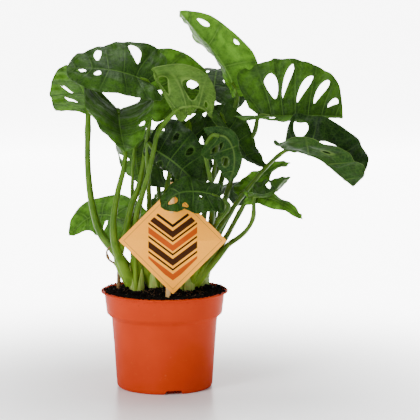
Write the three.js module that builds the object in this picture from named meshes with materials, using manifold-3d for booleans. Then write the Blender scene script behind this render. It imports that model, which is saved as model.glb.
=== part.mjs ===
// Potted monstera obliqua: a nursery pot, its soil, a plant label, a dry stub and five leafy stems.
// Millimetres, +Z up, the origin on the floor under the middle of the pot.
import * as THREE from 'three';
import * as BufferGeometryUtils from 'three/addons/utils/BufferGeometryUtils.js';
import Module from 'manifold-3d';

const wasm = await Module();
wasm.setup();

// Pot: a 12 cm nursery pot with a wide band under its lip
const LIP_RADIUS = 60;
const BAND_TOP_RADIUS = 56.8;
const BAND_BOTTOM_RADIUS = 54.6;
const BODY_TOP_RADIUS = 50.2;
const BODY_BOTTOM_RADIUS = 45.2;
const FOOT_RADIUS = 43.6;
const POT_HEIGHT = 92;
const LIP_THICKNESS = 1.2;
const BAND_BOTTOM = 71;
const BAND_CHAMFER = 4;
const POT_WALL = 1.5;
const POT_SEGMENTS = 40;
const FOOT_ROUNDING = 1.8;
const LIP_ROUNDING = 0.6;
const WALL_STEP = 0.6;
const DRAIN_NOTCHES = 3;
const NOTCH_WIDTH = 18;
const NOTCH_HEIGHT = 4;
const NOTCH_DEPTH = 9;
const NOTCH_TOP_LEFT = 0.9;
const NOTCH_TOP_RIGHT = 0.6;
const NOTCH_FIRST_ANGLE = -78;

// Soil: a low lumpy dome that fills the pot
const GAP = 0.3;
const SOIL_EDGE_HEIGHT = 90;
const SOIL_DOME = 3;
const SOIL_LUMP = 1.1;
const SOIL_SLANT_LUMP = 0.6;
const LUMP_WAVES = { across: 0.31, away: 0.27, slant: 0.19 };
const LUMP_SHIFTS = { across: 1.7, away: 0.4 };
const FACET_ROOM = 0.4;
const SOIL_RINGS = [0.16, 0.36, 0.56, 0.76, 0.92, 1];
const SOIL_SEGMENTS = 30;
const HOLE_BOTTOM = 72;

// Label: a square card on its corner, in one piece with its stake
const CARD_SIDE = 70.6;
const CARD_THICKNESS = 0.9;
const CARD_CENTRE = [8.7, -44, 145.4];
const CARD_LEAN = 2;
const CARD_CORNER = 1.5;
const STAKE_WIDTH = 4.4;
const STAKE_OFFSET = -5;
const STAKE_BOTTOM = -71;
const STAKE_ROOM = 1.2;

// Leaf blades and stalks
const BLADE_THICKNESS = 0.7;
const RIB_RISE = 0.5;
const STALK_SIDES = 6;
const STALK_SPACING = 19;
const STALK_RUN_ON = 0.14;
const STALK_TAPER_POWER = 2;
const STALK_JOIN = 0.01;
const STALK_JOIN_SINK = 0.7;
const STALK_END_SINK = 0.5;
const STALK_TIP_SHARE = 0.8;
const RIB_PROBE = [0.02, 0.1];
const VEIN_RISE_POWER = 1.2;
const VEIN_SWEEP_POWER = 1.3;
const VEIN_NODES = [0, 0.18, 0.56, 1];
const RIGHT_WAVE_PHASE = 1.3;
const HOLE_FLARE = 0.3;
const BLOCK_MARGIN = 0.02;

// Half a leaf outline, from the notch at its base to its tip: [across, along] as shares of its size
const OVATE_OUTLINE = [
  [0.1, -0.06], [0.62, -0.15], [0.95, 0.01], [1, 0.21], [0.92, 0.41], [0.75, 0.6], [0.5, 0.77],
  [0.21, 0.91], [0, 1],
];
const ROUND_OUTLINE = [
  [0.12, -0.08], [0.68, -0.19], [0.94, 0.02], [1, 0.24], [0.98, 0.47], [0.88, 0.69], [0.7, 0.87],
  [0.42, 0.97], [0, 1],
];

// Feet of the leafy stems in the soil
const FOOT_SEGMENTS = 16;
const FOOT_SHEATHS = 4;
const FOOT_FLUTE_DEPTH = 0.25;
const FOOT_SHOULDER = 97;
const FOOT_TOP = 120;
const FOOT_TAPER = [[1, FOOT_SHOULDER], [0.92, 106], [0.66, 115], [0, FOOT_TOP]];
const ROOT_HEIGHT = 90;
const HOLE_DEPTH = 40;
const STAKE_FOOT_SHIFT = 2.2;
const STEMS = [
  { name: 'stem_left', at: [-27, -8], radius: 8, colour: '#4f8a33' },
  { name: 'stem_middle', at: [-9, 0], radius: 7.5, colour: '#3c7a2d' },
  { name: 'stem_back', at: [2, 32], radius: 7.5, colour: '#356e2a' },
  { name: 'stem_right', at: [23, -8], radius: 8, colour: '#4a8432' },
  { name: 'stem_far_right', at: [35, 20], radius: 7.5, colour: '#3f7f2e' },
];

// A dry stub of an old stalk, and how it leans towards the front
const DRY_STUB = { at: [-43, -4], radius: 2.4, tipRadius: 1.6, bendHeight: 95, topHeight: 116, lean: 1 };

// The leaves. The midrib runs from the stalk to the tip. Each half has its width, the arc it bends
// through (radians) and the directions in which it spreads, from base to tip; left and right are as
// seen on the upper face with the tip up. outline goes from ovate (0) to round (1) or a little past
// either, and lobe scales what lies behind the base. A hole is [panel between veins, start, end,
// openness, lean]: start and end are shares of the way from the midrib to the margin. wave is
// [height, waves along the margin, phase].

const LEAVES = [
  {
    name: 'left_edge', stem: 'stem_left', outline: 0.8, lobe: 0.1, panels: 4,
    midrib: [[-70, 4, 257], [-73, 22, 268], [-79, 36, 280], [-87, 46, 291], [-95, 52, 301]],
    leftWidth: 35, rightWidth: 12, leftCurl: 0.4, rightCurl: 0.5,
    leftSide: [[-0.86, -0.35, 0.33], [-0.9, -0.4, 0.1], [-0.6, -0.6, -0.1]],
    rightSide: [[0.6, 0.7, 0.3]],
    leftHoles: [[1, 0.28, 0.66, 0.3, 0.8], [2, 0.3, 0.72, 0.22, 0.8]],
    rightHoles: [],
    stalk: [[-32, -4, 107], [-46, 2, 127], [-61, 8, 146], [-69, 9, 176], [-72, 6, 213]],
    stalkRadius: [5.5, 3.2], wave: [1.5, 3, 0],
  },
  {
    name: 'left_hanging', stem: 'stem_left', outline: 0.45, lobe: 0.9, panels: 4,
    midrib: [[-42, -8, 263], [-41, -27, 255], [-38, -47, 243], [-34, -65, 230]],
    leftWidth: 39, rightWidth: 46, leftCurl: -0.9, rightCurl: -0.5,
    leftSide: [[0.92, 0.35, 0.1], [0.84, 0.35, 0.25], [0.8, 0, 0.2]],
    rightSide: [[-0.8, -0.2, 0.48], [-0.82, -0.24, 0.44], [-0.7, -0.3, 0.4]],
    leftHoles: [[2, 0.55, 0.75, 0.3]],
    rightHoles: [],
    stalk: [[-39, -14, 118], [-46, -15, 138], [-47, -16, 160], [-43, -16, 186], [-36, -13, 220]],
    stalkRadius: [5.4, 2.5], wave: [1.5, 3, 0],
  },
  {
    name: 'left_top', stem: 'stem_left', outline: 0.9, lobe: 0.7, panels: 5,
    midrib: [[-12, -14, 288], [-24, -19, 294], [-41, -26, 300], [-63, -28, 303], [-89, -24, 303]],
    leftWidth: 27, rightWidth: 42, leftCurl: 0.5, rightCurl: 0.5,
    leftSide: [[0, -0.9, -0.25], [0, -0.75, -0.55], [-0.1, -0.7, -0.6]],
    rightSide: [[0.35, 0.45, 0.8], [0.1, 0.7, 0.7], [0, 0.8, 0.6]],
    leftHoles: [[3, 0.14, 0.38, 0.35], [4, 0.12, 0.36, 0.6]],
    rightHoles: [[1, 0.34, 0.86, 0.42, 0.5], [3, 0.3, 0.74, 0.42, -0.2]],
    stalk: [
      [-42, -10, 118], [-41, -12, 133], [-35, -10, 153], [-30, -8, 174], [-23, -6, 193],
      [-18, -4, 220], [-13, -9, 255],
    ],
    stalkRadius: [5.4, 2.38], wave: [1.5, 3, 0],
  },
  {
    name: 'left_inner', stem: 'stem_left', outline: 0.3, lobe: 1, panels: 3,
    midrib: [[-27, 4, 228], [-27, 12, 216], [-26, 20, 205], [-24, 26, 192]],
    leftWidth: 20, rightWidth: 23, leftCurl: 0.5, rightCurl: 0.5,
    leftSide: [[0.8, 0.3, 0.1]],
    rightSide: [[-0.8, 0.3, 0]],
    leftHoles: [[1, 0.3, 0.8, 0.5]],
    rightHoles: [[1, 0.3, 0.8, 0.5]],
    stalk: [[-30, 0, 140], [-30, 4, 190]],
    stalkRadius: [3.24, 2], wave: [1.5, 3, 0],
  },
  {
    name: 'middle_front', stem: 'stem_middle', outline: -0.5, lobe: 0.3, panels: 3,
    midrib: [[9, -35, 264], [18, -37, 268], [28, -36, 269], [37, -33, 266], [45, -28, 257]],
    leftWidth: 16, rightWidth: 45, leftCurl: 0.5, rightCurl: 0.4,
    leftSide: [[0, 0.8, -0.5], [0, 0.8, -0.5]],
    rightSide: [[0, -0.1, 0.95], [-0.05, -0.1, 0.95], [-0.1, -0.1, 0.95]],
    leftHoles: [],
    rightHoles: [[0, 0.42, 0.76, 0.45, 0.3], [1, 0.13, 0.62, 0.72, 0], [2, 0.12, 0.34, 0.3]],
    stalk: [
      [-22, -3, 120], [-26, -12, 154], [-22, -20, 178], [-14, -26, 205], [-9, -30, 227],
      [-4, -33, 246],
    ],
    stalkRadius: [4.97, 2.5], wave: [1.5, 3, 0],
  },
  {
    name: 'middle_drooping', stem: 'stem_middle', outline: 0.3, lobe: 0.4, panels: 4,
    midrib: [[-16, -20, 231], [-5, -28, 226], [8, -33, 218], [21, -35, 207], [33, -32, 194]],
    leftWidth: 38, rightWidth: 20, leftCurl: 0.5, rightCurl: 0.5,
    leftSide: [[0.45, 0.35, 0.8], [0.5, 0.3, 0.8]],
    rightSide: [[-0.3, 0.5, -0.8], [-0.3, 0.5, -0.8]],
    leftHoles: [[0, 0.4, 0.7, 0.3], [1, 0.4, 0.7, 0.3], [2, 0.4, 0.7, 0.3]],
    rightHoles: [[1, 0.3, 0.8, 0.4]],
    stalk: [[-14, -2, 130], [-14, -8, 180]],
    stalkRadius: [4.54, 2.38], wave: [1.5, 3, 0],
  },
  {
    name: 'middle_behind', stem: 'stem_middle', outline: 0.3, lobe: 0.5, panels: 4,
    midrib: [[22, 12, 250], [27, 12, 230], [31, 9, 208], [34, 4, 186]],
    leftWidth: 20, rightWidth: 26, leftCurl: 0.5, rightCurl: 0.5,
    leftSide: [[0.9, 0.2, 0.2]],
    rightSide: [[-0.9, 0.2, 0]],
    leftHoles: [[1, 0.3, 0.8, 0.5]],
    rightHoles: [[1, 0.3, 0.8, 0.5], [2, 0.3, 0.8, 0.4]],
    stalk: [[-4, 5, 150], [6, 10, 205]],
    stalkRadius: [3.67, 2.5], wave: [1.5, 3, 0],
  },
  {
    name: 'back_dome', stem: 'stem_back', outline: 0.1, lobe: 1, panels: 4,
    midrib: [[13, 45, 260], [9, 46, 281], [1, 48, 299], [-10, 52, 316]],
    leftWidth: 36, rightWidth: 35, leftCurl: 0.5, rightCurl: 0.5,
    leftSide: [[-0.9, -0.1, -0.3]],
    rightSide: [[0.9, -0.1, 0.3]],
    leftHoles: [[1, 0.3, 0.8, 0.5]],
    rightHoles: [[1, 0.3, 0.8, 0.5]],
    stalk: [[5, 34, 150], [14, 42, 210]],
    stalkRadius: [4.54, 2.38], wave: [1.5, 3, 0],
  },
  {
    name: 'back_arching', stem: 'stem_back', outline: 0.3, lobe: 1, panels: 4,
    midrib: [[46, 62, 268], [48, 80, 286], [50, 100, 293], [52, 120, 289]],
    leftWidth: 32, rightWidth: 32, leftCurl: 0.5, rightCurl: 0.5,
    leftSide: [[-0.95, 0, 0.1]],
    rightSide: [[0.95, 0, 0.1]],
    leftHoles: [[1, 0.25, 0.85, 0.8], [2, 0.25, 0.85, 0.8]],
    rightHoles: [[1, 0.25, 0.85, 0.8], [2, 0.25, 0.85, 0.8]],
    stalk: [[20, 44, 150], [38, 52, 220]],
    stalkRadius: [3.46, 2.5], wave: [1.5, 3, 0],
  },
  {
    name: 'back_high', stem: 'stem_back', outline: 0.3, lobe: 1, panels: 4,
    midrib: [[63, 46, 225], [57, 50, 238], [51, 53, 250], [44, 56, 261]],
    leftWidth: 24, rightWidth: 24, leftCurl: 0.5, rightCurl: 0.5,
    leftSide: [[-0.8, -0.3, -0.3]],
    rightSide: [[0.8, -0.3, 0.4]],
    leftHoles: [[1, 0.3, 0.8, 0.5]],
    rightHoles: [[1, 0.3, 0.8, 0.5]],
    stalk: [[26, 40, 150], [50, 44, 200]],
    stalkRadius: [3.46, 2.5], wave: [1.5, 3, 0],
  },
  {
    name: 'back_low_left', stem: 'stem_back', outline: 0.3, lobe: 1, panels: 4,
    midrib: [[-35, 45, 149], [-53, 55, 155], [-74, 60, 152], [-94, 60, 135]],
    leftWidth: 26, rightWidth: 25, leftCurl: 0.5, rightCurl: 0.5,
    leftSide: [[0, -0.8, -0.5]],
    rightSide: [[0, 0.5, 0.8]],
    leftHoles: [[1, 0.3, 0.8, 0.3]],
    rightHoles: [],
    stalk: [[-14, 42, 120], [-25, 43, 143]],
    stalkRadius: [3.46, 2.25], wave: [1.5, 3, 0],
  },
  {
    name: 'back_inner', stem: 'stem_back', outline: 0.3, lobe: 1, panels: 4,
    midrib: [[14, 48, 213], [4, 52, 212], [-12, 58, 204], [-31, 64, 189]],
    leftWidth: 30, rightWidth: 28, leftCurl: 0.5, rightCurl: 0.5,
    leftSide: [[0.1, -0.6, -0.8]],
    rightSide: [[0, 0.7, 0.7]],
    leftHoles: [[1, 0.3, 0.8, 0.5]],
    rightHoles: [[1, 0.3, 0.8, 0.5]],
    stalk: [[6, 40, 150]],
    stalkRadius: [3.46, 2.5], wave: [1.5, 3, 0],
  },
  {
    name: 'back_far_high', stem: 'stem_back', outline: 0.3, lobe: 1, panels: 4,
    midrib: [[-10, 81, 227], [-15, 98, 234], [-19, 116, 231], [-22, 132, 220]],
    leftWidth: 30, rightWidth: 30, leftCurl: 0.5, rightCurl: 0.5,
    leftSide: [[-0.95, 0, -0.15]],
    rightSide: [[0.95, 0, -0.15]],
    leftHoles: [[1, 0.3, 0.8, 0.6], [2, 0.3, 0.8, 0.5]],
    rightHoles: [[1, 0.3, 0.8, 0.6], [2, 0.3, 0.8, 0.5]],
    stalk: [[-4, 46, 150], [-8, 64, 200]],
    stalkRadius: [3.46, 2.5], wave: [1.5, 3, 0],
  },
  {
    name: 'back_far_low', stem: 'stem_back', outline: 0.3, lobe: 1, panels: 4,
    midrib: [[10, 78, 166], [10, 98, 174], [8, 118, 172], [6, 136, 159]],
    leftWidth: 28, rightWidth: 28, leftCurl: 0.5, rightCurl: 0.5,
    leftSide: [[-0.95, 0, -0.15]],
    rightSide: [[0.95, 0, -0.15]],
    leftHoles: [[1, 0.3, 0.8, 0.5]],
    rightHoles: [[1, 0.3, 0.8, 0.5]],
    stalk: [[3, 46, 120], [4, 64, 156]],
    stalkRadius: [3.46, 2.5], wave: [1.5, 3, 0],
  },
  {
    name: 'cupped', stem: 'stem_right', outline: 0.3, lobe: 1, panels: 2,
    midrib: [[45, -53, 243], [57, -61, 243], [64, -63, 232], [65, -61, 217], [61, -56, 201]],
    leftWidth: 24, rightWidth: 9, leftCurl: 0.5, rightCurl: 0.5,
    leftSide: [[-0.3, 0.1, -0.95], [-0.7, -0.1, -0.6], [-0.95, -0.2, -0.1], [-0.95, -0.2, 0.1]],
    rightSide: [[0.1, -0.1, 0.95], [0.7, -0.2, 0.6], [0.95, -0.2, 0.1], [0.95, -0.2, -0.1]],
    leftHoles: [[0, 0.22, 0.8, 0.8], [1, 0.3, 0.7, 0.4]],
    rightHoles: [],
    stalk: [[35, -14, 130], [44, -26, 160], [44, -38, 195], [39, -46, 228]],
    stalkRadius: [5.18, 2.38], wave: [1.5, 3, 0],
  },
  {
    name: 'small_curled', stem: 'stem_right', outline: 0.3, lobe: 0.3, panels: 3,
    midrib: [[83, -40, 186], [95, -43, 187], [106, -43, 193], [117, -40, 204]],
    leftWidth: 20, rightWidth: 19, leftCurl: 0.5, rightCurl: 0.5,
    leftSide: [[0, 0.6, 0.75]],
    rightSide: [[0, -0.85, 0.4]],
    leftHoles: [[1, 0.3, 0.8, 0.5]],
    rightHoles: [],
    stalk: [
      [40, -12, 112], [51, -16, 126], [60, -21, 138], [70, -27, 146], [78, -33, 155], [83, -38, 167],
    ],
    stalkRadius: [4.75, 2.25], wave: [1.5, 3, 0],
  },
  {
    name: 'small_pointed', stem: 'stem_right', outline: 0.3, lobe: 0.4, panels: 3,
    midrib: [[78, -31, 184], [92, -31, 184], [108, -29, 179], [121, -29, 170], [129, -28, 163]],
    leftWidth: 9, rightWidth: 9, leftCurl: 0.5, rightCurl: 0.5,
    leftSide: [[0.2, 0.75, 0.6]],
    rightSide: [[-0.3, -0.7, -0.6]],
    leftHoles: [],
    rightHoles: [],
    stalk: [[40, -12, 118], [57, -17, 143], [71, -26, 170]],
    stalkRadius: [5.18, 2.38], wave: [1.5, 3, 0],
  },
  {
    name: 'over_label', stem: 'stem_right', outline: 0.75, lobe: 0.3, panels: 4,
    midrib: [[52, -52, 187], [40, -57, 191], [27, -60, 193], [13, -62, 191], [-2, -62, 179]],
    leftWidth: 20, rightWidth: 17, leftCurl: 0.5, rightCurl: 0.5,
    leftSide: [[0, -0.85, -0.45], [0, -0.6, -0.8], [0.1, -0.4, -0.9]],
    rightSide: [[0, 0.6, 0.8]],
    leftHoles: [[3, 0.08, 0.54, 0.7], [2, 0.6, 0.88, 0.5], [1, 0.2, 0.42, 0.25]],
    rightHoles: [],
    stalk: [[34, -22, 130], [48, -34, 158], [60, -44, 177]],
    stalkRadius: [3.89, 2.25], wave: [3.2, 3.5, 1],
  },
  {
    name: 'top', stem: 'stem_far_right', outline: 0.45, lobe: 0.3, panels: 3,
    midrib: [[68, 36, 273], [61, 32, 292], [49, 30, 312], [34, 30, 329], [21, 31, 344], [14, 32, 353]],
    leftWidth: 28, rightWidth: 30, leftCurl: 0.5, rightCurl: 0.6,
    leftSide: [[-0.35, 0.9, -0.1], [-0.4, 0.85, -0.1]],
    rightSide: [[0.75, -0.4, 0.45], [0.7, -0.3, 0.6]],
    leftHoles: [[1, 0.3, 0.8, 0.4]],
    rightHoles: [[1, 0.74, 0.86, 0.14], [2, 0.5, 0.72, 0.42]],
    stalk: [[40, 26, 130], [51, 32, 180], [61, 35, 220], [65, 36, 250]],
    stalkRadius: [4.97, 2.5], wave: [2.4, 3.5, 0.5],
  },
  {
    name: 'right_fan', stem: 'stem_far_right', outline: 1, lobe: 1.4, panels: 6,
    midrib: [[88, 9, 256], [104, 8, 255.5], [125, 8, 256], [147, 10, 256], [168, 12, 255]],
    leftWidth: 57, rightWidth: 24, leftCurl: 0.3, rightCurl: 0.3,
    leftSide: [[-0.05, 0.25, 0.95], [0, 0.25, 0.95]],
    rightSide: [[0, -0.98, 0.03], [0, -0.98, 0.03]],
    leftHoles: [
      [1, 0.3, 0.74, 0.85, -0.1], [2, 0.3, 0.9, 0.34, 0.8], [3, 0.22, 0.78, 0.42, 0.8],
      [4, 0.25, 0.84, 0.4, 0.4], [5, 0.25, 0.72, 0.34, 0.5],
    ],
    rightHoles: [[1, 0.3, 0.8, 0.5], [3, 0.3, 0.8, 0.5], [4, 0.3, 0.8, 0.5]],
    stalk: [[43, 26, 120], [53, 22, 160], [67, 16, 205], [84, 11, 238]],
    stalkRadius: [4.97, 2.38], wave: [1.5, 3, 0],
  },
  {
    name: 'right_outer', stem: 'stem_far_right', outline: 1.35, lobe: 0.3, panels: 3,
    midrib: [[112, -37, 229], [127, -43, 227], [145, -45, 220], [161, -43, 206.5], [175, -40, 195]],
    leftWidth: 39, rightWidth: 30, leftCurl: -0.3, rightCurl: -0.3,
    leftSide: [[-0.1, 0.7, 0.8], [0.3, 0.5, 0.8], [0.9, 0.2, 0.5]],
    rightSide: [[0.1, -0.9, 0.15], [0.25, -0.78, 0.38], [0.5, -0.5, 0.6]],
    leftHoles: [[0, 0.36, 0.82, 0.5, 0.1], [1, 0.24, 0.52, 0.6, 0.6]],
    rightHoles: [[1, 0.48, 0.62, 0.2]],
    stalk: [[42, 16, 130], [62, 6, 165], [81, 0, 191], [98, -14, 213]],
    stalkRadius: [3.67, 2.25], wave: [2.5, 5.5, 0],
  },
  {
    name: 'right_folded', stem: 'stem_far_right', outline: 0.3, lobe: 0.6, panels: 4,
    midrib: [[52, 8, 257], [60, 4, 244], [71, 0, 229], [82, -5, 215], [97, -6, 207]],
    leftWidth: 20, rightWidth: 24, leftCurl: 0.5, rightCurl: 0.5,
    leftSide: [[0.8, 0.3, 0.2]],
    rightSide: [[-0.2, -0.95, 0.1]],
    leftHoles: [],
    rightHoles: [[1, 0.3, 0.8, 0.5]],
    stalk: [[36, 20, 150], [48, 14, 210]],
    stalkRadius: [3.67, 2.5], wave: [1.5, 3, 0],
  },
  {
    name: 'right_small', stem: 'stem_far_right', outline: 0.3, lobe: 0.3, panels: 3,
    midrib: [[70, 17, 180], [86, 15, 192], [102, 14, 204], [119, 14, 211]],
    leftWidth: 13, rightWidth: 12, leftCurl: 0.5, rightCurl: 0.5,
    leftSide: [[-0.3, 0.6, 0.7]],
    rightSide: [[0.3, -0.85, 0.1]],
    leftHoles: [],
    rightHoles: [],
    stalk: [[47, 22, 130], [65, 18, 167]],
    stalkRadius: [3.24, 2.25], wave: [1.5, 3, 0],
  },
  {
    name: 'right_far_low', stem: 'stem_far_right', outline: 0.3, lobe: 1, panels: 4,
    midrib: [[58, 62, 176], [70, 80, 184], [82, 98, 183], [92, 116, 172]],
    leftWidth: 28, rightWidth: 28, leftCurl: 0.5, rightCurl: 0.5,
    leftSide: [[-0.8, 0.5, -0.15]],
    rightSide: [[0.8, -0.5, -0.15]],
    leftHoles: [[1, 0.3, 0.8, 0.5]],
    rightHoles: [[1, 0.3, 0.8, 0.5]],
    stalk: [[44, 34, 120], [52, 48, 156]],
    stalkRadius: [3.46, 2.5], wave: [1.5, 3, 0],
  },
];

const toVector = ([x, y, z]) => new THREE.Vector3(x, y, z);

// A smooth curve through the given points; a single one is doubled so that it holds along the curve
function curveThrough(rows) {
  const vectors = rows.length > 1 ? rows.map(toVector) : [toVector(rows[0]), toVector(rows[0])];
  return new THREE.CatmullRomCurve3(vectors, false, 'catmullrom', 0.5);
}

// A closed three.js geometry as a solid that can be joined and cut
function toSolid(geometry) {
  const bare = geometry.clone();
  bare.deleteAttribute('normal');
  bare.deleteAttribute('uv');
  const merged = BufferGeometryUtils.mergeVertices(bare);
  const corners = merged.index.array;
  const kept = [];
  for (let i = 0; i < corners.length; i += 3) {
    const [a, b, c] = [corners[i], corners[i + 1], corners[i + 2]];
    if (a !== b && b !== c && c !== a) kept.push(a, b, c);
  }
  return new wasm.Manifold(new wasm.Mesh({
    numProp: 3,
    vertProperties: new Float32Array(merged.attributes.position.array),
    triVerts: new Uint32Array(kept),
  }));
}

function toGeometry(solid) {
  const mesh = solid.getMesh();
  const geometry = new THREE.BufferGeometry();
  geometry.setAttribute('position', new THREE.BufferAttribute(mesh.vertProperties, 3));
  geometry.setIndex(new THREE.BufferAttribute(mesh.triVerts, 1));
  geometry.computeVertexNormals();
  return geometry;
}

function fromPoints(points, triangles) {
  const geometry = new THREE.BufferGeometry().setFromPoints(points);
  geometry.setIndex(triangles.flat());
  return geometry;
}

// Sizes of one blade that its points are worked out from
function bladeForm(leaf) {
  const outline = OVATE_OUTLINE.map(([across, along], k) => {
    const [roundAcross, roundAlong] = ROUND_OUTLINE[k];
    return [
      across + (roundAcross - across) * leaf.outline,
      along + (roundAlong - along) * leaf.outline,
      0,
    ];
  });
  const midrib = curveThrough(leaf.midrib);
  return {
    midrib,
    length: midrib.getLength(),
    outline: curveThrough(outline),
    lobe: leaf.lobe,
    wave: leaf.wave,
    left: { width: leaf.leftWidth, curl: leaf.leftCurl, side: curveThrough(leaf.leftSide) },
    right: { width: leaf.rightWidth, curl: leaf.rightCurl, side: curveThrough(leaf.rightSide) },
  };
}

// A point of the blade: s runs from base to tip, v from the midrib (0) to the margin (1).
// A vein leaves the midrib at s to the power 1.2, and sweeps towards the margin's own place along
// the leaf. Each half bends across as an arc and its margin waves.
function bladePoint(form, s, v, hand) {
  const half = hand > 0 ? form.left : form.right;
  const edge = form.outline.getPoint(s);
  const edgeAlong = edge.y < 0 ? edge.y * form.lobe : edge.y;
  const root = s ** VEIN_RISE_POWER;
  const along = root + (edgeAlong - root) * v ** VEIN_SWEEP_POWER;
  const across = half.width * edge.x * v;
  const held = Math.min(Math.max(along, 0), 1);
  const tangent = form.midrib.getTangentAt(held);
  const place = form.midrib.getPointAt(held).addScaledVector(tangent, (along - held) * form.length);
  const side = half.side.getPoint(held);
  side.addScaledVector(tangent, -side.dot(tangent)).normalize();
  const up = new THREE.Vector3().crossVectors(tangent, side).multiplyScalar(hand);
  const turn = (half.curl * across) / half.width;
  const [height, count, phase] = form.wave;
  const wave = height * v ** 2 * Math.sin(Math.PI * s)
    * Math.sin(2 * Math.PI * count * s + phase + (hand < 0 ? RIGHT_WAVE_PHASE : 0));
  place.addScaledVector(side, (half.width / half.curl) * Math.sin(turn));
  return place.addScaledVector(up, wave - (half.width / half.curl) * (1 - Math.cos(turn)));
}

// The blade's middle surface. Each half is a grid of s by v; a hole takes a block of the grid, which
// becomes a ring of triangles from the block's edge to a drop-shaped rim.
function bladeSurface(leaf) {
  const form = bladeForm(leaf);
  const steps = 2 * leaf.panels + 2;
  const last = VEIN_NODES.length - 1;
  const points = [];
  const across = [];
  const triangles = [];
  const known = new Map();

  const addPoint = (s, v, hand) => {
    points.push(bladePoint(form, s, v, hand));
    across.push(v);
    return points.length - 1;
  };
  const gridPoint = (hand, i, j) => {
    const isTip = i === steps;
    const key = isTip ? 'tip' : `${j === 0 ? 0 : hand} ${i} ${j}`;
    if (!known.has(key)) known.set(key, addPoint(i / steps, isTip ? 0 : VEIN_NODES[j], hand));
    return known.get(key);
  };
  const addQuad = (corners, hand) => {
    const [a, b, c, d] = hand > 0 ? corners : [...corners].reverse();
    for (const triangle of [[a, b, c], [a, c, d]]) {
      if (new Set(triangle).size === 3) triangles.push(triangle);
    }
  };

  for (const hand of [1, -1]) {
    const taken = new Set();
    for (const [panel, from, to, open, lean = 0] of hand > 0 ? leaf.leftHoles : leaf.rightHoles) {
      const i0 = 1 + 2 * panel;
      const i1 = i0 + 2;
      const j0 = VEIN_NODES.findLastIndex((v, k) => k < last && v <= from - BLOCK_MARGIN);
      const j1 = VEIN_NODES.findIndex((v) => v >= to + BLOCK_MARGIN);
      for (let i = i0; i < i1; i += 1) {
        for (let j = j0; j < j1; j += 1) taken.add(`${i} ${j}`);
      }
      const edge = [];
      for (let i = i0; i < i1; i += 1) edge.push([i, j0]);
      for (let j = j0; j < j1; j += 1) edge.push([i1, j]);
      for (let i = i1; i > i0; i -= 1) edge.push([i, j1]);
      for (let j = j1; j > j0; j -= 1) edge.push([i0, j]);
      const outer = edge.map(([i, j]) => gridPoint(hand, i, j));
      const rim = edge.map(([i, j]) => {
        const a = i - (i0 + 1);
        const b = (2 * VEIN_NODES[j] - VEIN_NODES[j0] - VEIN_NODES[j1]) / (VEIN_NODES[j1] - VEIN_NODES[j0]);
        const angle = Math.atan2(b, a);
        const rise = Math.sin(angle);
        const s = (i0 + 1 + open * Math.cos(angle) * (1 + HOLE_FLARE * rise) + lean * rise) / steps;
        return addPoint(s, (from + to) / 2 + ((to - from) / 2) * rise, hand);
      });
      outer.forEach((corner, k) => {
        const next = (k + 1) % outer.length;
        addQuad([corner, outer[next], rim[next], rim[k]], hand);
      });
    }
    for (let i = 0; i < steps; i += 1) {
      for (let j = 0; j < last; j += 1) {
        if (taken.has(`${i} ${j}`)) continue;
        addQuad([
          gridPoint(hand, i, j), gridPoint(hand, i + 1, j), gridPoint(hand, i + 1, j + 1),
          gridPoint(hand, i, j + 1),
        ], hand);
      }
    }
  }
  return { points, across, triangles };
}

// A thin closed solid on both sides of the surface, thicker under the midrib
function bladeSolid(leaf) {
  const { points, across, triangles } = bladeSurface(leaf);
  const normals = points.map(() => new THREE.Vector3());
  const edges = new Map();
  for (const [a, b, c] of triangles) {
    const along = new THREE.Vector3().subVectors(points[b], points[a]);
    const normal = new THREE.Vector3().subVectors(points[c], points[a]);
    normal.crossVectors(along, normal);
    for (const k of [a, b, c]) normals[k].add(normal);
    for (const [from, to] of [[a, b], [b, c], [c, a]]) {
      if (!edges.delete(`${to} ${from}`)) edges.set(`${from} ${to}`, [from, to]);
    }
  }
  const count = points.length;
  const top = points.map((p, k) => p.clone().addScaledVector(normals[k].normalize(), BLADE_THICKNESS / 2));
  const bottom = points.map((p, k) => {
    const rib = across[k] === 0 ? RIB_RISE : 0;
    return p.clone().addScaledVector(normals[k], -BLADE_THICKNESS / 2 - rib);
  });
  const faces = [
    ...triangles,
    ...triangles.map(([a, b, c]) => [a + count, c + count, b + count]),
  ];
  for (const [from, to] of edges.values()) {
    faces.push([to, from, from + count], [to, from + count, to + count]);
  }
  return toSolid(fromPoints([...top, ...bottom], faces));
}

// A round tapered stem along a curve, closed at both ends
function stemSolid(rows, firstRadius, lastRadius, sides = STALK_SIDES) {
  const curve = curveThrough(rows);
  const steps = Math.max(3, Math.round(curve.getLength() / STALK_SPACING));
  const frames = curve.computeFrenetFrames(steps, false);
  const points = [];
  const triangles = [];
  for (let i = 0; i <= steps; i += 1) {
    const share = i / steps;
    const centre = curve.getPointAt(share);
    const radius = lastRadius + (firstRadius - lastRadius) * (1 - share) ** STALK_TAPER_POWER;
    for (let k = 0; k < sides; k += 1) {
      const angle = (2 * Math.PI * k) / sides;
      points.push(centre.clone()
        .addScaledVector(frames.normals[i], radius * Math.cos(angle))
        .addScaledVector(frames.binormals[i], radius * Math.sin(angle)));
    }
  }
  for (let i = 0; i < steps; i += 1) {
    for (let k = 0; k < sides; k += 1) {
      const a = i * sides + k;
      const b = i * sides + ((k + 1) % sides);
      triangles.push([a, b, b + sides], [a, b + sides, a + sides]);
    }
  }
  for (let k = 1; k < sides - 1; k += 1) {
    triangles.push([0, k + 1, k]);
    triangles.push([steps * sides, steps * sides + k, steps * sides + k + 1]);
  }
  return toSolid(fromPoints(points, triangles));
}

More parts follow.
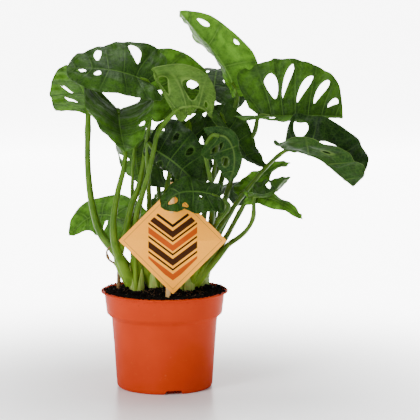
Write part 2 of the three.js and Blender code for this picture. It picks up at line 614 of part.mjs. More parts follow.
// A leaf: its blade, and its stalk, which runs on under the midrib as a rib
function leafSolid(leaf, root) {
  const form = bladeForm(leaf);
  const blade = bladeSolid(leaf);
  const below = (share, depth) => {
    const [near, out] = RIB_PROBE.map((v) => bladePoint(form, share, v, 1));
    const tangent = form.midrib.getTangentAt(share);
    const normal = new THREE.Vector3().crossVectors(tangent, out.sub(near)).normalize();
    return form.midrib.getPointAt(share).addScaledVector(normal, -depth).toArray();
  };
  const [rootRadius, tipRadius] = leaf.stalkRadius;
  const path = [
    root, ...leaf.stalk, below(STALK_JOIN, tipRadius * STALK_JOIN_SINK),
    below(STALK_RUN_ON, STALK_END_SINK),
  ];
  return blade.add(stemSolid(path, rootRadius, tipRadius * STALK_TIP_SHARE));
}

function latheAlongZ(profile, segments) {
  const geometry = new THREE.LatheGeometry(profile.map(([r, z]) => new THREE.Vector2(r, z)), segments);
  return geometry.rotateX(Math.PI / 2);
}

// The sheathed foot that a clump of stalks grows from; it stands in a plain hole in the soil, and
// above it the sheaths show as flutes
function footSolid({ at: [x, y], radius }) {
  const foot = latheAlongZ([
    [0, HOLE_BOTTOM + GAP], [radius, HOLE_BOTTOM + GAP],
    ...FOOT_TAPER.map(([share, height]) => [radius * share, height]),
  ], FOOT_SEGMENTS);
  const place = foot.attributes.position;
  for (let k = 0; k < place.count; k += 1) {
    if (place.getZ(k) <= FOOT_SHOULDER) continue;
    const angle = Math.atan2(place.getY(k), place.getX(k));
    const flute = 1 - FOOT_FLUTE_DEPTH * (0.5 - 0.5 * Math.cos(FOOT_SHEATHS * angle));
    place.setXY(k, place.getX(k) * flute, place.getY(k) * flute);
  }
  return toSolid(foot.translate(x, y, 0));
}

function clumpSolid(stem) {
  const root = [stem.at[0], stem.at[1], ROOT_HEIGHT];
  return LEAVES.filter((leaf) => leaf.stem === stem.name)
    .reduce((whole, leaf) => whole.add(leafSolid(leaf, root)), footSolid(stem));
}

function potSolid() {
  const inner = (radius) => radius - POT_WALL;
  let pot = toSolid(latheAlongZ([
    [0, 0], [FOOT_RADIUS, 0], [BODY_BOTTOM_RADIUS, FOOT_ROUNDING],
    [BODY_TOP_RADIUS, BAND_BOTTOM - BAND_CHAMFER], [BAND_BOTTOM_RADIUS, BAND_BOTTOM],
    [BAND_TOP_RADIUS, POT_HEIGHT - LIP_THICKNESS - LIP_ROUNDING],
    [LIP_RADIUS - LIP_ROUNDING, POT_HEIGHT - LIP_THICKNESS],
    [LIP_RADIUS, POT_HEIGHT - LIP_THICKNESS / 2], [LIP_RADIUS - LIP_ROUNDING, POT_HEIGHT],
    [inner(BAND_TOP_RADIUS) + LIP_ROUNDING, POT_HEIGHT],
    [inner(BAND_TOP_RADIUS), POT_HEIGHT - LIP_THICKNESS],
    [inner(BAND_BOTTOM_RADIUS), BAND_BOTTOM + WALL_STEP],
    [inner(BODY_TOP_RADIUS), BAND_BOTTOM - BAND_CHAMFER + WALL_STEP],
    [inner(BODY_BOTTOM_RADIUS), POT_WALL], [0, POT_WALL],
  ], POT_SEGMENTS));
  const half = NOTCH_WIDTH / 2;
  const outline = new THREE.Shape([
    new THREE.Vector2(-half, -NOTCH_HEIGHT), new THREE.Vector2(half, -NOTCH_HEIGHT),
    new THREE.Vector2(half * NOTCH_TOP_RIGHT, NOTCH_HEIGHT),
    new THREE.Vector2(-half * NOTCH_TOP_LEFT, NOTCH_HEIGHT),
  ]);
  for (let k = 0; k < DRAIN_NOTCHES; k += 1) {
    const angle = NOTCH_FIRST_ANGLE + (360 * k) / DRAIN_NOTCHES;
    const notch = new THREE.ExtrudeGeometry(outline, { depth: NOTCH_DEPTH, bevelEnabled: false });
    notch.rotateX(Math.PI / 2).translate(0, -BODY_BOTTOM_RADIUS + NOTCH_DEPTH / 2, 0);
    notch.rotateZ(THREE.MathUtils.degToRad(angle + 90));
    pot = pot.subtract(toSolid(notch));
  }
  return pot;
}

// Height of the soil's long lumps at a place
function soilLump(x, y) {
  const ridges = Math.sin(LUMP_WAVES.across * x + LUMP_SHIFTS.across)
    * Math.cos(LUMP_WAVES.away * y + LUMP_SHIFTS.away);
  return SOIL_LUMP * (ridges + SOIL_SLANT_LUMP * Math.sin(LUMP_WAVES.slant * (x - y)));
}

// The soil fills the pot with a small gap. Its top rises to the middle and is lumpy; every stem and
// the label's stake stand in a plain hole.
function soilSolid() {
  const floor = POT_WALL + GAP;
  const clear = floor + FACET_ROOM;
  const geometry = latheAlongZ([
    [0, floor], [BODY_BOTTOM_RADIUS - clear, floor],
    [BODY_TOP_RADIUS - clear, BAND_BOTTOM - BAND_CHAMFER + WALL_STEP],
    [BAND_BOTTOM_RADIUS - clear, BAND_BOTTOM + WALL_STEP],
    ...[...SOIL_RINGS].reverse().map((share) => [
      share * (BAND_TOP_RADIUS - clear), SOIL_EDGE_HEIGHT + SOIL_DOME * (1 - share ** 2),
    ]),
    [0, SOIL_EDGE_HEIGHT + SOIL_DOME],
  ], SOIL_SEGMENTS);
  const place = geometry.attributes.position;
  for (let k = 0; k < place.count; k += 1) {
    const [x, y, z] = [place.getX(k), place.getY(k), place.getZ(k)];
    if (z >= SOIL_EDGE_HEIGHT) place.setZ(k, z + soilLump(x, y));
  }
  let soil = toSolid(geometry);
  for (const { at: [x, y], radius } of [...STEMS, DRY_STUB]) {
    const hole = new THREE.CylinderGeometry(radius + GAP, radius + GAP, HOLE_DEPTH, FOOT_SEGMENTS);
    hole.rotateX(Math.PI / 2).translate(x, y, HOLE_BOTTOM + HOLE_DEPTH / 2);
    soil = soil.subtract(toSolid(hole));
  }
  const slot = new THREE.BoxGeometry(STAKE_WIDTH + 2 * GAP, CARD_THICKNESS + STAKE_ROOM, HOLE_DEPTH);
  const [x, y] = CARD_CENTRE;
  slot.translate(x + STAKE_OFFSET, y - STAKE_FOOT_SHIFT, HOLE_BOTTOM + HOLE_DEPTH / 2);
  return soil.subtract(toSolid(slot));
}

// The card stands on its corner; its stake leaves the lower left edge and ends in a point
function labelGeometry() {
  const reach = CARD_SIDE / Math.SQRT2;
  const left = STAKE_OFFSET - STAKE_WIDTH / 2;
  const right = STAKE_OFFSET + STAKE_WIDTH / 2;
  const cut = CARD_CORNER;
  const outline = new THREE.Shape([
    [reach - cut, cut], [cut, reach - cut], [-cut, reach - cut], [-reach + cut, cut],
    [-reach + cut, -cut], [left, -reach - left], [left, STAKE_BOTTOM + STAKE_WIDTH],
    [STAKE_OFFSET, STAKE_BOTTOM], [right, STAKE_BOTTOM + STAKE_WIDTH], [right, -reach - right],
    [-cut, -reach + cut], [cut, -reach + cut], [reach - cut, -cut],
  ].map(([x, y]) => new THREE.Vector2(x, y)));
  const card = new THREE.ExtrudeGeometry(outline, { depth: CARD_THICKNESS, bevelEnabled: false });
  return card.translate(0, 0, -CARD_THICKNESS / 2)
    .rotateX(Math.PI / 2 - THREE.MathUtils.degToRad(CARD_LEAN))
    .translate(...CARD_CENTRE);
}

function dryStubSolid() {
  const { at: [x, y], radius, tipRadius, bendHeight, topHeight, lean } = DRY_STUB;
  const path = [[x, y, HOLE_BOTTOM + GAP], [x, y, bendHeight], [x, y - lean, topHeight]];
  return stemSolid(path, radius, tipRadius);
}

const plastic = (color, roughness) => new THREE.MeshStandardMaterial({ color, roughness, metalness: 0 });
const potted = new THREE.Group();

function addMesh(name, geometry, material) {
  const mesh = new THREE.Mesh(geometry, material);
  mesh.name = name;
  potted.add(mesh);
}

addMesh('pot', toGeometry(potSolid()), plastic('#c4512b', 0.45));
addMesh('soil', toGeometry(soilSolid()), plastic('#2b201a', 0.95));
addMesh('label', labelGeometry(), plastic('#e2ab6c', 0.6));
addMesh('dry_stub', toGeometry(dryStubSolid()), plastic('#5d4530', 0.85));
for (const stem of STEMS) {
  addMesh(stem.name, toGeometry(clumpSolid(stem)), plastic(stem.colour, 0.45));
}

export default potted;
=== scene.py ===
from typing import NamedTuple

import bpy
import numpy as np
from bpy.props import FloatProperty, FloatVectorProperty, IntProperty, PointerProperty
from bpy.types import Operator, Panel, PropertyGroup
from mathutils import Euler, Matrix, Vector
from mathutils.geometry import tessellate_polygon


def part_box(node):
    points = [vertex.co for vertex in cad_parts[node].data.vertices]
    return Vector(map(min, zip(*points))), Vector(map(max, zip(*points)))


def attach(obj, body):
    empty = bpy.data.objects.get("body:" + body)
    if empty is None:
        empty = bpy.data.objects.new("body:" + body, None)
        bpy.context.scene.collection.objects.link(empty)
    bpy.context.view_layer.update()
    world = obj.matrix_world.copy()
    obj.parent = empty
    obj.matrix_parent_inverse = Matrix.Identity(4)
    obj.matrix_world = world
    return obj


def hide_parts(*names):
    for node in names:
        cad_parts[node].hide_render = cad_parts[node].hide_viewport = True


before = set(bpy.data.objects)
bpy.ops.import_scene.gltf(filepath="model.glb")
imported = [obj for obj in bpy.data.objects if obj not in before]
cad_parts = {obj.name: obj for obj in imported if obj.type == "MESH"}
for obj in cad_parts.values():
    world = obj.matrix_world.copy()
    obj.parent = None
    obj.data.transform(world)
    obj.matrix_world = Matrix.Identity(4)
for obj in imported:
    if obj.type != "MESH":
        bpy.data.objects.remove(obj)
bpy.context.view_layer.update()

bl_info = {
    "name": "Potted monstera obliqua",
    "version": (1, 0, 0),
    "blender": (4, 5, 0),
    "location": "3D View > Sidebar > Monstera",
    "description": "Grows the leaves, stalks, soil and pot of a potted monstera around its fixed frame",
    "category": "Object",
}

# Shapes are in mm, like the part they dress, and become metres in the mesh
MM = 0.001
BODY = "root"

# Directions
RIGHT, BACK, UP = np.eye(3)

# Ground sizes taken from the frame
LIP_RADIUS, _, POT_HEIGHT = np.array(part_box("pot")[1]) / MM
LABEL_LOW, LABEL_HIGH = (np.array(corner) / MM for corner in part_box("label"))

# How finely curves are followed, and the order of a face's corners that turns it over
SPLINE_STEPS = 400
MIDRIB_STEPS = 200
LENGTH_STEPS = 50
TURNED = [0, 3, 2, 1]

# Leaf blades: how the side veins run, where they lie between midrib and margin, and how holes fit in
VEIN_RISE_POWER = 1.2
VEIN_SWEEP_POWER = 1.3
VEIN_NODES = np.array([0, 0.18, 0.56, 1])
RIGHT_PHASE = 1.3
HOLE_FLARE = 0.3
HOLE_RINGS = 7
BLOCK_MARGIN = 0.02
EDGE_START = 0.93

# Half a leaf outline, from the notch at its base to its tip: [across, along] as shares of its size
OVATE_OUTLINE = np.array([
    [0.1, -0.06], [0.62, -0.15], [0.95, 0.01], [1, 0.21], [0.92, 0.41], [0.75, 0.6], [0.5, 0.77],
    [0.21, 0.91], [0, 1],
])
ROUND_OUTLINE = np.array([
    [0.12, -0.08], [0.68, -0.19], [0.94, 0.02], [1, 0.24], [0.98, 0.47], [0.88, 0.69], [0.7, 0.87],
    [0.42, 0.97], [0, 1],
])

# Relief of the blades. Waves are (length, share of the height). Half widths are in mm for the midrib
# and in shares of the way between two side veins for those. The shift keeps patterns of leaves apart.
ROLL_WAVES = ((44, 1.0), (31, 0.9), (21, 0.7), (15, 0.45), (11, 0.4), (9, 0.3))
CRINKLES = 7
LIP_REACH = 0.4
GROOVE_HALF = 0.09
RIB_HALF = 0.07
MIDRIB_GROOVE_HALF = 1.3
MIDRIB_GROOVE_SHARE = 1.3
MIDRIB_RIB_HALF = 1.25
MIDRIB_RIB_SHARE = 1.9
SHEET_SHIFT = 200

# Stalks. The knee is the thicker place shortly before the blade. Ridges and channel are (height,
# middle, half width): a share of the radius and radians from the stalk's upper side. The tones are for
# stems on the right and on the left.
STALK_RUN_ON = 0.14
STALK_TAPER_POWER = 2
STALK_TIP_SHARE = 0.8
STALK_TONES = (0.35, 0.85)
ROOT_HEIGHT = 90
KNEE_SWELL = 0.22
KNEE_PLACE = 24
KNEE_HALF = 6
RIDGED_SHARE = 0.45
RIDGES = (0.22, 0.75, 0.3)
CHANNEL = (-0.3, 0, 0.42)

# Feet of the leafy stems in the soil: middle and radius
FEET = {
    "stem_left": ((-27, -8), 8),
    "stem_middle": ((-9, 0), 7.5),
    "stem_back": ((2, 32), 7.5),
    "stem_right": ((23, -8), 8),
    "stem_far_right": ((35, 20), 7.5),
}
FEET_SEED = 5
FOOT_BOTTOM = 74
FOOT_SHOULDER = 97
FOOT_TOP = 132
FOOT_STATIONS = [FOOT_BOTTOM, 84, FOOT_SHOULDER, 108, 122, FOOT_TOP]
FOOT_SHARES = [0.9, 0.98, 0.98, 0.9, 0.62, 0.15]
FOOT_SIDES = 48
FOOT_TONE = 0.75
FLUTES = 4
FLUTE_HEIGHTS = [86, FOOT_SHOULDER + 9]
FLUTE_DEPTHS = [0.16, 0.36]

# Papery sheaths around each foot
SHEATHS = 3
SHEATH_APART = 2.1
SHEATH_RISES = (22, 40)
SHEATH_BOTTOM = FOOT_SHOULDER - 11
SHEATH_REACH = 0.95
SHEATH_THICKNESS = 0.35

# Dry stub and the twig beside it
STUB_SEED = 3
DRY_STUB_RADIUS = 2.4
DRY_STUB_PATH = [[-43, -4, 76], [-43, -4, 95], [-43, -5, 116]]
DRY_TWIG_PATH = [[-43, -5, 112], [-47, -7, 118], [-52, -7, 122], [-54, -7, 129], [-51, -8, 134]]

# Pot: the first notch in degrees, where a notch starts and ends to rise, and half the pot's section, from
# the middle of its floor out, up over the lip and back down inside
NOTCH_FIRST_ANGLE = -78
NOTCH_STATIONS = [-9, -6.48, 7.2, 9]
NOTCH_REACH = 37
POT_FLOOR = 1.5
POT_PROFILE = [
    [0, 0.8], [30, 0.8], [32, 0], [NOTCH_REACH, 0], [NOTCH_REACH + 0.05, 0], [40, 0], [42.6, 0],
    [43.6, 0.3], [44.6, 1.2], [45.2, 2.4], [45.35, 4.1], [45.8, 10], [47.8, 40], [49.6, 62], [49.9, 65.6],
    [50.2, 66.6], [50.9, 67.4], [54.0, 70.3], [54.5, 71], [54.65, 72], [56.7, 89], [57.0, 89.6],
    [57.8, 90.2], [59.2, 90.5], [59.8, 90.8], [60, 91.3], [59.8, 91.7], [59.2, 92], [56.4, 92],
    [55.7, 91.7], [55.3, 90.8], [53.2, 72], [48.4, 65], [43.7, 3], [42.5, POT_FLOOR], [0, POT_FLOOR],
]

# Soil: its mounds are (height, x, y, half width in x, half width in y)
SOIL_EDGE = LIP_RADIUS - 5
SOIL_HEIGHT = 90
SOIL_BOTTOM = 80
SOIL_DOME = 3
SOIL_MOUNDS = ((3.2, -40, -18, 13, 16), (3.4, 43, -12, 12, 18))
GRIT_HEIGHT = 0.22

# A twenty-faced ball for the crumbs
GOLDEN = (1 + 5**0.5) / 2
ICOSAHEDRON = (
    np.array([
        [-1, GOLDEN, 0], [1, GOLDEN, 0], [-1, -GOLDEN, 0], [1, -GOLDEN, 0], [0, -1, GOLDEN], [0, 1, GOLDEN],
        [0, -1, -GOLDEN], [0, 1, -GOLDEN], [GOLDEN, 0, -1], [GOLDEN, 0, 1], [-GOLDEN, 0, -1],
        [-GOLDEN, 0, 1],
    ]) / np.hypot(1, GOLDEN),
    np.array([
        [0, 11, 5], [0, 5, 1], [0, 1, 7], [0, 7, 10], [0, 10, 11], [1, 5, 9], [5, 11, 4], [11, 10, 2],
        [10, 7, 6], [7, 1, 8], [3, 9, 4], [3, 4, 2], [3, 2, 6], [3, 6, 8], [3, 8, 9], [4, 9, 5],
        [2, 4, 11], [6, 2, 10], [8, 6, 7], [9, 8, 1],
    ]),
)

# Label: a card on its corner, leant back by degrees, and the wooden stick behind it
CARD_CENTRE = np.array([8.7, -44, 145.4])
CARD_LEAN = 2
CARD_ROUNDING = 1.2
CARD_BEVEL = 0.25
STICK_PATH = [[3.4, -40.2, 76], [6.2, -41.8, 140], [9.0, -43.4, 199.5]]
STICK_HALF_WIDTH = 2.3
STICK_HALF_DEPTH = 0.9
STICK_SQUARENESS = 6

# Print on the card: a border line round a panel of stacked chevrons. A chevron is (low, high, ink), by
# heights on the card's middle line.
CHEVRON_SLOPE = 0.75
CHEVRONS = (
    (12.0, 15.0, "#0c0603"), (2.5, 9.0, "#331a08"), (-1.5, 0.5, "#0c0603"), (-10.0, -4.0, "#a84408"),
    (-14.0, -12.0, "#0c0603"), (-23.5, -17.0, "#331a08"), (-28.0, -26.0, "#0c0603"),
    (-37.0, -31.0, "#a84408"),
)
INK_BLUR = 0.2
PANEL_HALF_WIDTH = 22.5
PANEL_REACH = 39
BORDER_REACH = 45.1

# Stage, in metres. A soft panel light is (name, place, aim, size, power in watts). The sensor's width
# is in mm.
SOFTBOXES = (
    ("softbox_left", (-1.15, -1.35, 1.1), (0, 0, 0.2), (0.55, 1.9), 46),
    ("softbox_right", (1.5, -0.85, 0.75), (0.02, 0, 0.15), (0.35, 1.4), 9),
    ("softbox_top", (0.1, 0.3, 1.7), (0, 0, 0.2), (0.8, 0.8), 22),
)
SKY_STRENGTH = 0.15
FLOOR_HALF_WIDTH = 9.0
FLOOR_FRONT = -4.0
FLOOR_BACK = 2.0
FLOOR_BEND = 0.8
FLOOR_TOP = 4.0
SENSOR_WIDTH = 36
CLIP_END = 50


class Leaf(NamedTuple):
    """A leaf: the blade's name, the stem it grows from, and its form.

    The midrib runs from the stalk to the tip, and stalk holds the places that the stalk passes on its
    way up. Each half of the blade has its width, the arc in radians that it bends through (curl) and the
    directions in which it spreads, from base to tip. Left and right are as seen on the upper face with
    the tip up. outline goes from ovate (0) to round (1) or a little past either, and lobe scales what
    lies behind the base. panels counts the spaces between side veins. A hole is (panel, start, end,
    openness, lean): start and end are shares of the way from midrib to margin. wave is (height, waves
    along the margin, phase in radians), radius the stalk's at its root and at the blade, and tone goes
    from dark (0) to bright (1).
    """

    name: str
    stem: str
    tone: float
    width: tuple
    radius: tuple
    midrib: list
    stalk: list
    left_side: list
    right_side: list
    left_holes: list = ()
    right_holes: list = ()
    outline: float = 0.3
    lobe: float = 1.0
    panels: int = 4
    curl: tuple = (0.5, 0.5)
    wave: tuple = (1.5, 3.0, 0.0)


# A leaf's tone is partly its age and partly painted light and shade: leaves deep in the plant get a dark
# tone, well-lit ones a bright one
LEAVES = [
    Leaf(
        "left_edge", "stem_left", tone=0.72, width=(35, 12), radius=(5.5, 3.2), outline=0.8, lobe=0.1,
        curl=(0.4, 0.5),
        midrib=[(-70, 4, 257), (-73, 22, 268), (-79, 36, 280), (-87, 46, 291), (-95, 52, 301)],
        stalk=[(-32, -4, 107), (-46, 2, 127), (-61, 8, 146), (-69, 9, 176), (-72, 6, 213)],
        left_side=[(-0.86, -0.35, 0.33), (-0.9, -0.4, 0.1), (-0.6, -0.6, -0.1)],
        right_side=[(0.6, 0.7, 0.3)], left_holes=[(1, 0.28, 0.66, 0.3, 0.8), (2, 0.3, 0.72, 0.22, 0.8)],
    ),
    Leaf(
        "left_hanging", "stem_left", tone=0.36, width=(39, 46), radius=(5.4, 2.5), outline=0.45, lobe=0.9,
        curl=(-0.9, -0.5), midrib=[(-42, -8, 263), (-41, -27, 255), (-38, -47, 243), (-34, -65, 230)],
        stalk=[(-39, -14, 118), (-46, -15, 138), (-47, -16, 160), (-43, -16, 186), (-36, -13, 220)],
        left_side=[(0.92, 0.35, 0.1), (0.84, 0.35, 0.25), (0.8, 0, 0.2)],
        right_side=[(-0.8, -0.2, 0.48), (-0.82, -0.24, 0.44), (-0.7, -0.3, 0.4)],
        left_holes=[(2, 0.55, 0.75, 0.3)],
    ),
    Leaf(
        "left_top", "stem_left", tone=0.18, width=(27, 42), radius=(5.4, 2.38), outline=0.9, lobe=0.7,
        panels=5,
        midrib=[(-12, -14, 288), (-24, -19, 294), (-41, -26, 300), (-63, -28, 303), (-89, -24, 303)],
        stalk=[(-42, -10, 118), (-41, -12, 133), (-35, -10, 153), (-30, -8, 174), (-23, -6, 193),
            (-18, -4, 220), (-13, -9, 255)],
        left_side=[(0, -0.9, -0.25), (0, -0.75, -0.55), (-0.1, -0.7, -0.6)],
        right_side=[(0.35, 0.45, 0.8), (0.1, 0.7, 0.7), (0, 0.8, 0.6)],
        left_holes=[(3, 0.14, 0.38, 0.35), (4, 0.12, 0.36, 0.6)],
        right_holes=[(1, 0.34, 0.86, 0.42, 0.5), (3, 0.3, 0.74, 0.42, -0.2)],
    ),
    Leaf(
        "left_inner", "stem_left", tone=0.4, width=(20, 23), radius=(3.24, 2), panels=3,
        midrib=[(-27, 4, 228), (-27, 12, 216), (-26, 20, 205), (-24, 26, 192)],
        stalk=[(-30, 0, 140), (-30, 4, 190)], left_side=[(0.8, 0.3, 0.1)], right_side=[(-0.8, 0.3, 0)],
        left_holes=[(1, 0.3, 0.8, 0.5)], right_holes=[(1, 0.3, 0.8, 0.5)],
    ),
    Leaf(
        "middle_front", "stem_middle", tone=0.42, width=(16, 45), radius=(4.97, 2.5), outline=-0.5,
        lobe=0.3, panels=3, curl=(0.5, 0.4),
        midrib=[(9, -35, 264), (18, -37, 268), (28, -36, 269), (37, -33, 266), (45, -28, 257)],
        stalk=[(-22, -3, 120), (-26, -12, 154), (-22, -20, 178), (-14, -26, 205), (-9, -30, 227),
            (-4, -33, 246)], left_side=[(0, 0.8, -0.5), (0, 0.8, -0.5)],
        right_side=[(0, -0.1, 0.95), (-0.05, -0.1, 0.95), (-0.1, -0.1, 0.95)],
        right_holes=[(0, 0.42, 0.76, 0.45, 0.3), (1, 0.13, 0.62, 0.72, 0), (2, 0.12, 0.34, 0.3)],
    ),
    Leaf(
        "middle_drooping", "stem_middle", tone=0.04, width=(38, 20), radius=(4.54, 2.38), lobe=0.4,
        midrib=[(-16, -20, 231), (-5, -28, 226), (8, -33, 218), (21, -35, 207), (33, -32, 194)],
        stalk=[(-14, -2, 130), (-14, -8, 180)], left_side=[(0.45, 0.35, 0.8), (0.5, 0.3, 0.8)],
        right_side=[(-0.3, 0.5, -0.8), (-0.3, 0.5, -0.8)],
        left_holes=[(0, 0.4, 0.7, 0.3), (1, 0.4, 0.7, 0.3), (2, 0.4, 0.7, 0.3)],
        right_holes=[(1, 0.3, 0.8, 0.4)],
    ),
    Leaf(
        "middle_behind", "stem_middle", tone=0.1, width=(20, 26), radius=(3.67, 2.5), lobe=0.5,
        midrib=[(22, 12, 250), (27, 12, 230), (31, 9, 208), (34, 4, 186)],
        stalk=[(-4, 5, 150), (6, 10, 205)], left_side=[(0.9, 0.2, 0.2)], right_side=[(-0.9, 0.2, 0)],
        left_holes=[(1, 0.3, 0.8, 0.5)], right_holes=[(1, 0.3, 0.8, 0.5), (2, 0.3, 0.8, 0.4)],
    ),
    Leaf(
        "back_dome", "stem_back", tone=0.72, width=(36, 35), radius=(4.54, 2.38), outline=0.1,
        midrib=[(13, 45, 260), (9, 46, 281), (1, 48, 299), (-10, 52, 316)],
        stalk=[(5, 34, 150), (14, 42, 210)], left_side=[(-0.9, -0.1, -0.3)],
        right_side=[(0.9, -0.1, 0.3)], left_holes=[(1, 0.3, 0.8, 0.5)], right_holes=[(1, 0.3, 0.8, 0.5)],
    ),
    Leaf(
        "back_arching", "stem_back", tone=0.1, width=(32, 32), radius=(3.46, 2.5),
        midrib=[(46, 62, 268), (48, 80, 286), (50, 100, 293), (52, 120, 289)],
        stalk=[(20, 44, 150), (38, 52, 220)], left_side=[(-0.95, 0, 0.1)], right_side=[(0.95, 0, 0.1)],
        left_holes=[(1, 0.25, 0.85, 0.8), (2, 0.25, 0.85, 0.8)],
        right_holes=[(1, 0.25, 0.85, 0.8), (2, 0.25, 0.85, 0.8)],
    ),
    Leaf(
        "back_high", "stem_back", tone=0.1, width=(24, 24), radius=(3.46, 2.5),
        midrib=[(63, 46, 225), (57, 50, 238), (51, 53, 250), (44, 56, 261)],
        stalk=[(26, 40, 150), (50, 44, 200)], left_side=[(-0.8, -0.3, -0.3)],
        right_side=[(0.8, -0.3, 0.4)], left_holes=[(1, 0.3, 0.8, 0.5)], right_holes=[(1, 0.3, 0.8, 0.5)],
    ),
    Leaf(
        "back_low_left", "stem_back", tone=0.6, width=(26, 25), radius=(3.46, 2.25),
        midrib=[(-35, 45, 149), (-53, 55, 155), (-74, 60, 152), (-94, 60, 135)],
        stalk=[(-14, 42, 120), (-25, 43, 143)], left_side=[(0, -0.8, -0.5)], right_side=[(0, 0.5, 0.8)],
        left_holes=[(1, 0.3, 0.8, 0.3)],
    ),
    Leaf(
        "back_inner", "stem_back", tone=0.1, width=(30, 28), radius=(3.46, 2.5),
        midrib=[(14, 48, 213), (4, 52, 212), (-12, 58, 204), (-31, 64, 189)], stalk=[(6, 40, 150)],
        left_side=[(0.1, -0.6, -0.8)], right_side=[(0, 0.7, 0.7)], left_holes=[(1, 0.3, 0.8, 0.5)],
        right_holes=[(1, 0.3, 0.8, 0.5)],
    ),
    Leaf(
        "back_far_high", "stem_back", tone=0.3, width=(30, 30), radius=(3.46, 2.5),
        midrib=[(-10, 81, 227), (-15, 98, 234), (-19, 116, 231), (-22, 132, 220)],
        stalk=[(-4, 46, 150), (-8, 64, 200)], left_side=[(-0.95, 0, -0.15)],
        right_side=[(0.95, 0, -0.15)], left_holes=[(1, 0.3, 0.8, 0.6), (2, 0.3, 0.8, 0.5)],
        right_holes=[(1, 0.3, 0.8, 0.6), (2, 0.3, 0.8, 0.5)],
    ),
    Leaf(
        "back_far_low", "stem_back", tone=0.3, width=(28, 28), radius=(3.46, 2.5),
        midrib=[(10, 78, 166), (10, 98, 174), (8, 118, 172), (6, 136, 159)],
        stalk=[(3, 46, 120), (4, 64, 156)], left_side=[(-0.95, 0, -0.15)], right_side=[(0.95, 0, -0.15)],
        left_holes=[(1, 0.3, 0.8, 0.5)], right_holes=[(1, 0.3, 0.8, 0.5)],
    ),
    Leaf(
        "cupped", "stem_right", tone=0, width=(24, 9), radius=(5.18, 2.38), panels=2,
        midrib=[(45, -53, 243), (57, -61, 243), (64, -63, 232), (65, -61, 217), (61, -56, 201)],
        stalk=[(35, -14, 130), (44, -26, 160), (44, -38, 195), (39, -46, 228)],
        left_side=[(-0.3, 0.1, -0.95), (-0.7, -0.1, -0.6), (-0.95, -0.2, -0.1), (-0.95, -0.2, 0.1)],
        right_side=[(0.1, -0.1, 0.95), (0.7, -0.2, 0.6), (0.95, -0.2, 0.1), (0.95, -0.2, -0.1)],
        left_holes=[(0, 0.22, 0.8, 0.8), (1, 0.3, 0.7, 0.4)],
    ),
    Leaf(
        "small_curled", "stem_right", tone=0.2, width=(20, 19), radius=(4.75, 2.25), lobe=0.3, panels=3,
        midrib=[(83, -40, 186), (95, -43, 187), (106, -43, 193), (117, -40, 204)],
        stalk=[(40, -12, 112), (51, -16, 126), (60, -21, 138), (70, -27, 146), (78, -33, 155),
            (83, -38, 167)], left_side=[(0, 0.6, 0.75)], right_side=[(0, -0.85, 0.4)],
        left_holes=[(1, 0.3, 0.8, 0.5)],
    ),
    Leaf(
        "small_pointed", "stem_right", tone=0.75, width=(9, 9), radius=(5.18, 2.38), lobe=0.4, panels=3,
        midrib=[(78, -31, 184), (92, -31, 184), (108, -29, 179), (121, -29, 170), (129, -28, 163)],
        stalk=[(40, -12, 118), (57, -17, 143), (71, -26, 170)], left_side=[(0.2, 0.75, 0.6)],
        right_side=[(-0.3, -0.7, -0.6)],
    ),
    Leaf(
        "over_label", "stem_right", tone=0.09, width=(20, 17), radius=(3.89, 2.25), outline=0.75,
        lobe=0.3, wave=(3.2, 3.5, 1),
        midrib=[(52, -52, 187), (40, -57, 191), (27, -60, 193), (13, -62, 191), (-2, -62, 179)],
        stalk=[(34, -22, 130), (48, -34, 158), (60, -44, 177)],
        left_side=[(0, -0.85, -0.45), (0, -0.6, -0.8), (0.1, -0.4, -0.9)], right_side=[(0, 0.6, 0.8)],
        left_holes=[(3, 0.08, 0.54, 0.7), (2, 0.6, 0.88, 0.5), (1, 0.2, 0.42, 0.25)],
    ),
    Leaf(
        "top", "stem_far_right", tone=1, width=(28, 30), radius=(4.97, 2.5), outline=0.45, lobe=0.3,
        panels=3, curl=(0.5, 0.6), wave=(2.4, 3.5, 0.5),
        midrib=[(68, 36, 273), (61, 32, 292), (49, 30, 312), (34, 30, 329), (21, 31, 344), (14, 32, 353)],
        stalk=[(40, 26, 130), (51, 32, 180), (61, 35, 220), (65, 36, 250)],
        left_side=[(-0.35, 0.9, -0.1), (-0.4, 0.85, -0.1)],
        right_side=[(0.75, -0.4, 0.45), (0.7, -0.3, 0.6)], left_holes=[(1, 0.3, 0.8, 0.4)],
        right_holes=[(1, 0.74, 0.86, 0.14), (2, 0.5, 0.72, 0.42)],
    ),
    Leaf(
        "right_fan", "stem_far_right", tone=0.36, width=(57, 24), radius=(4.97, 2.38), outline=1,
        lobe=1.4, panels=6, curl=(0.3, 0.3),
        midrib=[(88, 9, 256), (104, 8, 255.5), (125, 8, 256), (147, 10, 256), (168, 12, 255)],
        stalk=[(43, 26, 120), (53, 22, 160), (67, 16, 205), (84, 11, 238)],
        left_side=[(-0.05, 0.25, 0.95), (0, 0.25, 0.95)], right_side=[(0, -0.98, 0.03), (0, -0.98, 0.03)],
        left_holes=[(1, 0.3, 0.74, 0.85, -0.1), (2, 0.3, 0.9, 0.34, 0.8), (3, 0.22, 0.78, 0.42, 0.8),
            (4, 0.25, 0.84, 0.4, 0.4), (5, 0.25, 0.72, 0.34, 0.5)],
        right_holes=[(1, 0.3, 0.8, 0.5), (3, 0.3, 0.8, 0.5), (4, 0.3, 0.8, 0.5)],
    ),
    Leaf(
        "right_outer", "stem_far_right", tone=0.03, width=(39, 30), radius=(3.67, 2.25), outline=1.35,
        lobe=0.3, panels=3, curl=(-0.3, -0.3), wave=(2.5, 5.5, 0),
        midrib=[(112, -37, 229), (127, -43, 227), (145, -45, 220), (161, -43, 206.5), (175, -40, 195)],
        stalk=[(42, 16, 130), (62, 6, 165), (81, 0, 191), (98, -14, 213)],
        left_side=[(-0.1, 0.7, 0.8), (0.3, 0.5, 0.8), (0.9, 0.2, 0.5)],
        right_side=[(0.1, -0.9, 0.15), (0.25, -0.78, 0.38), (0.5, -0.5, 0.6)],
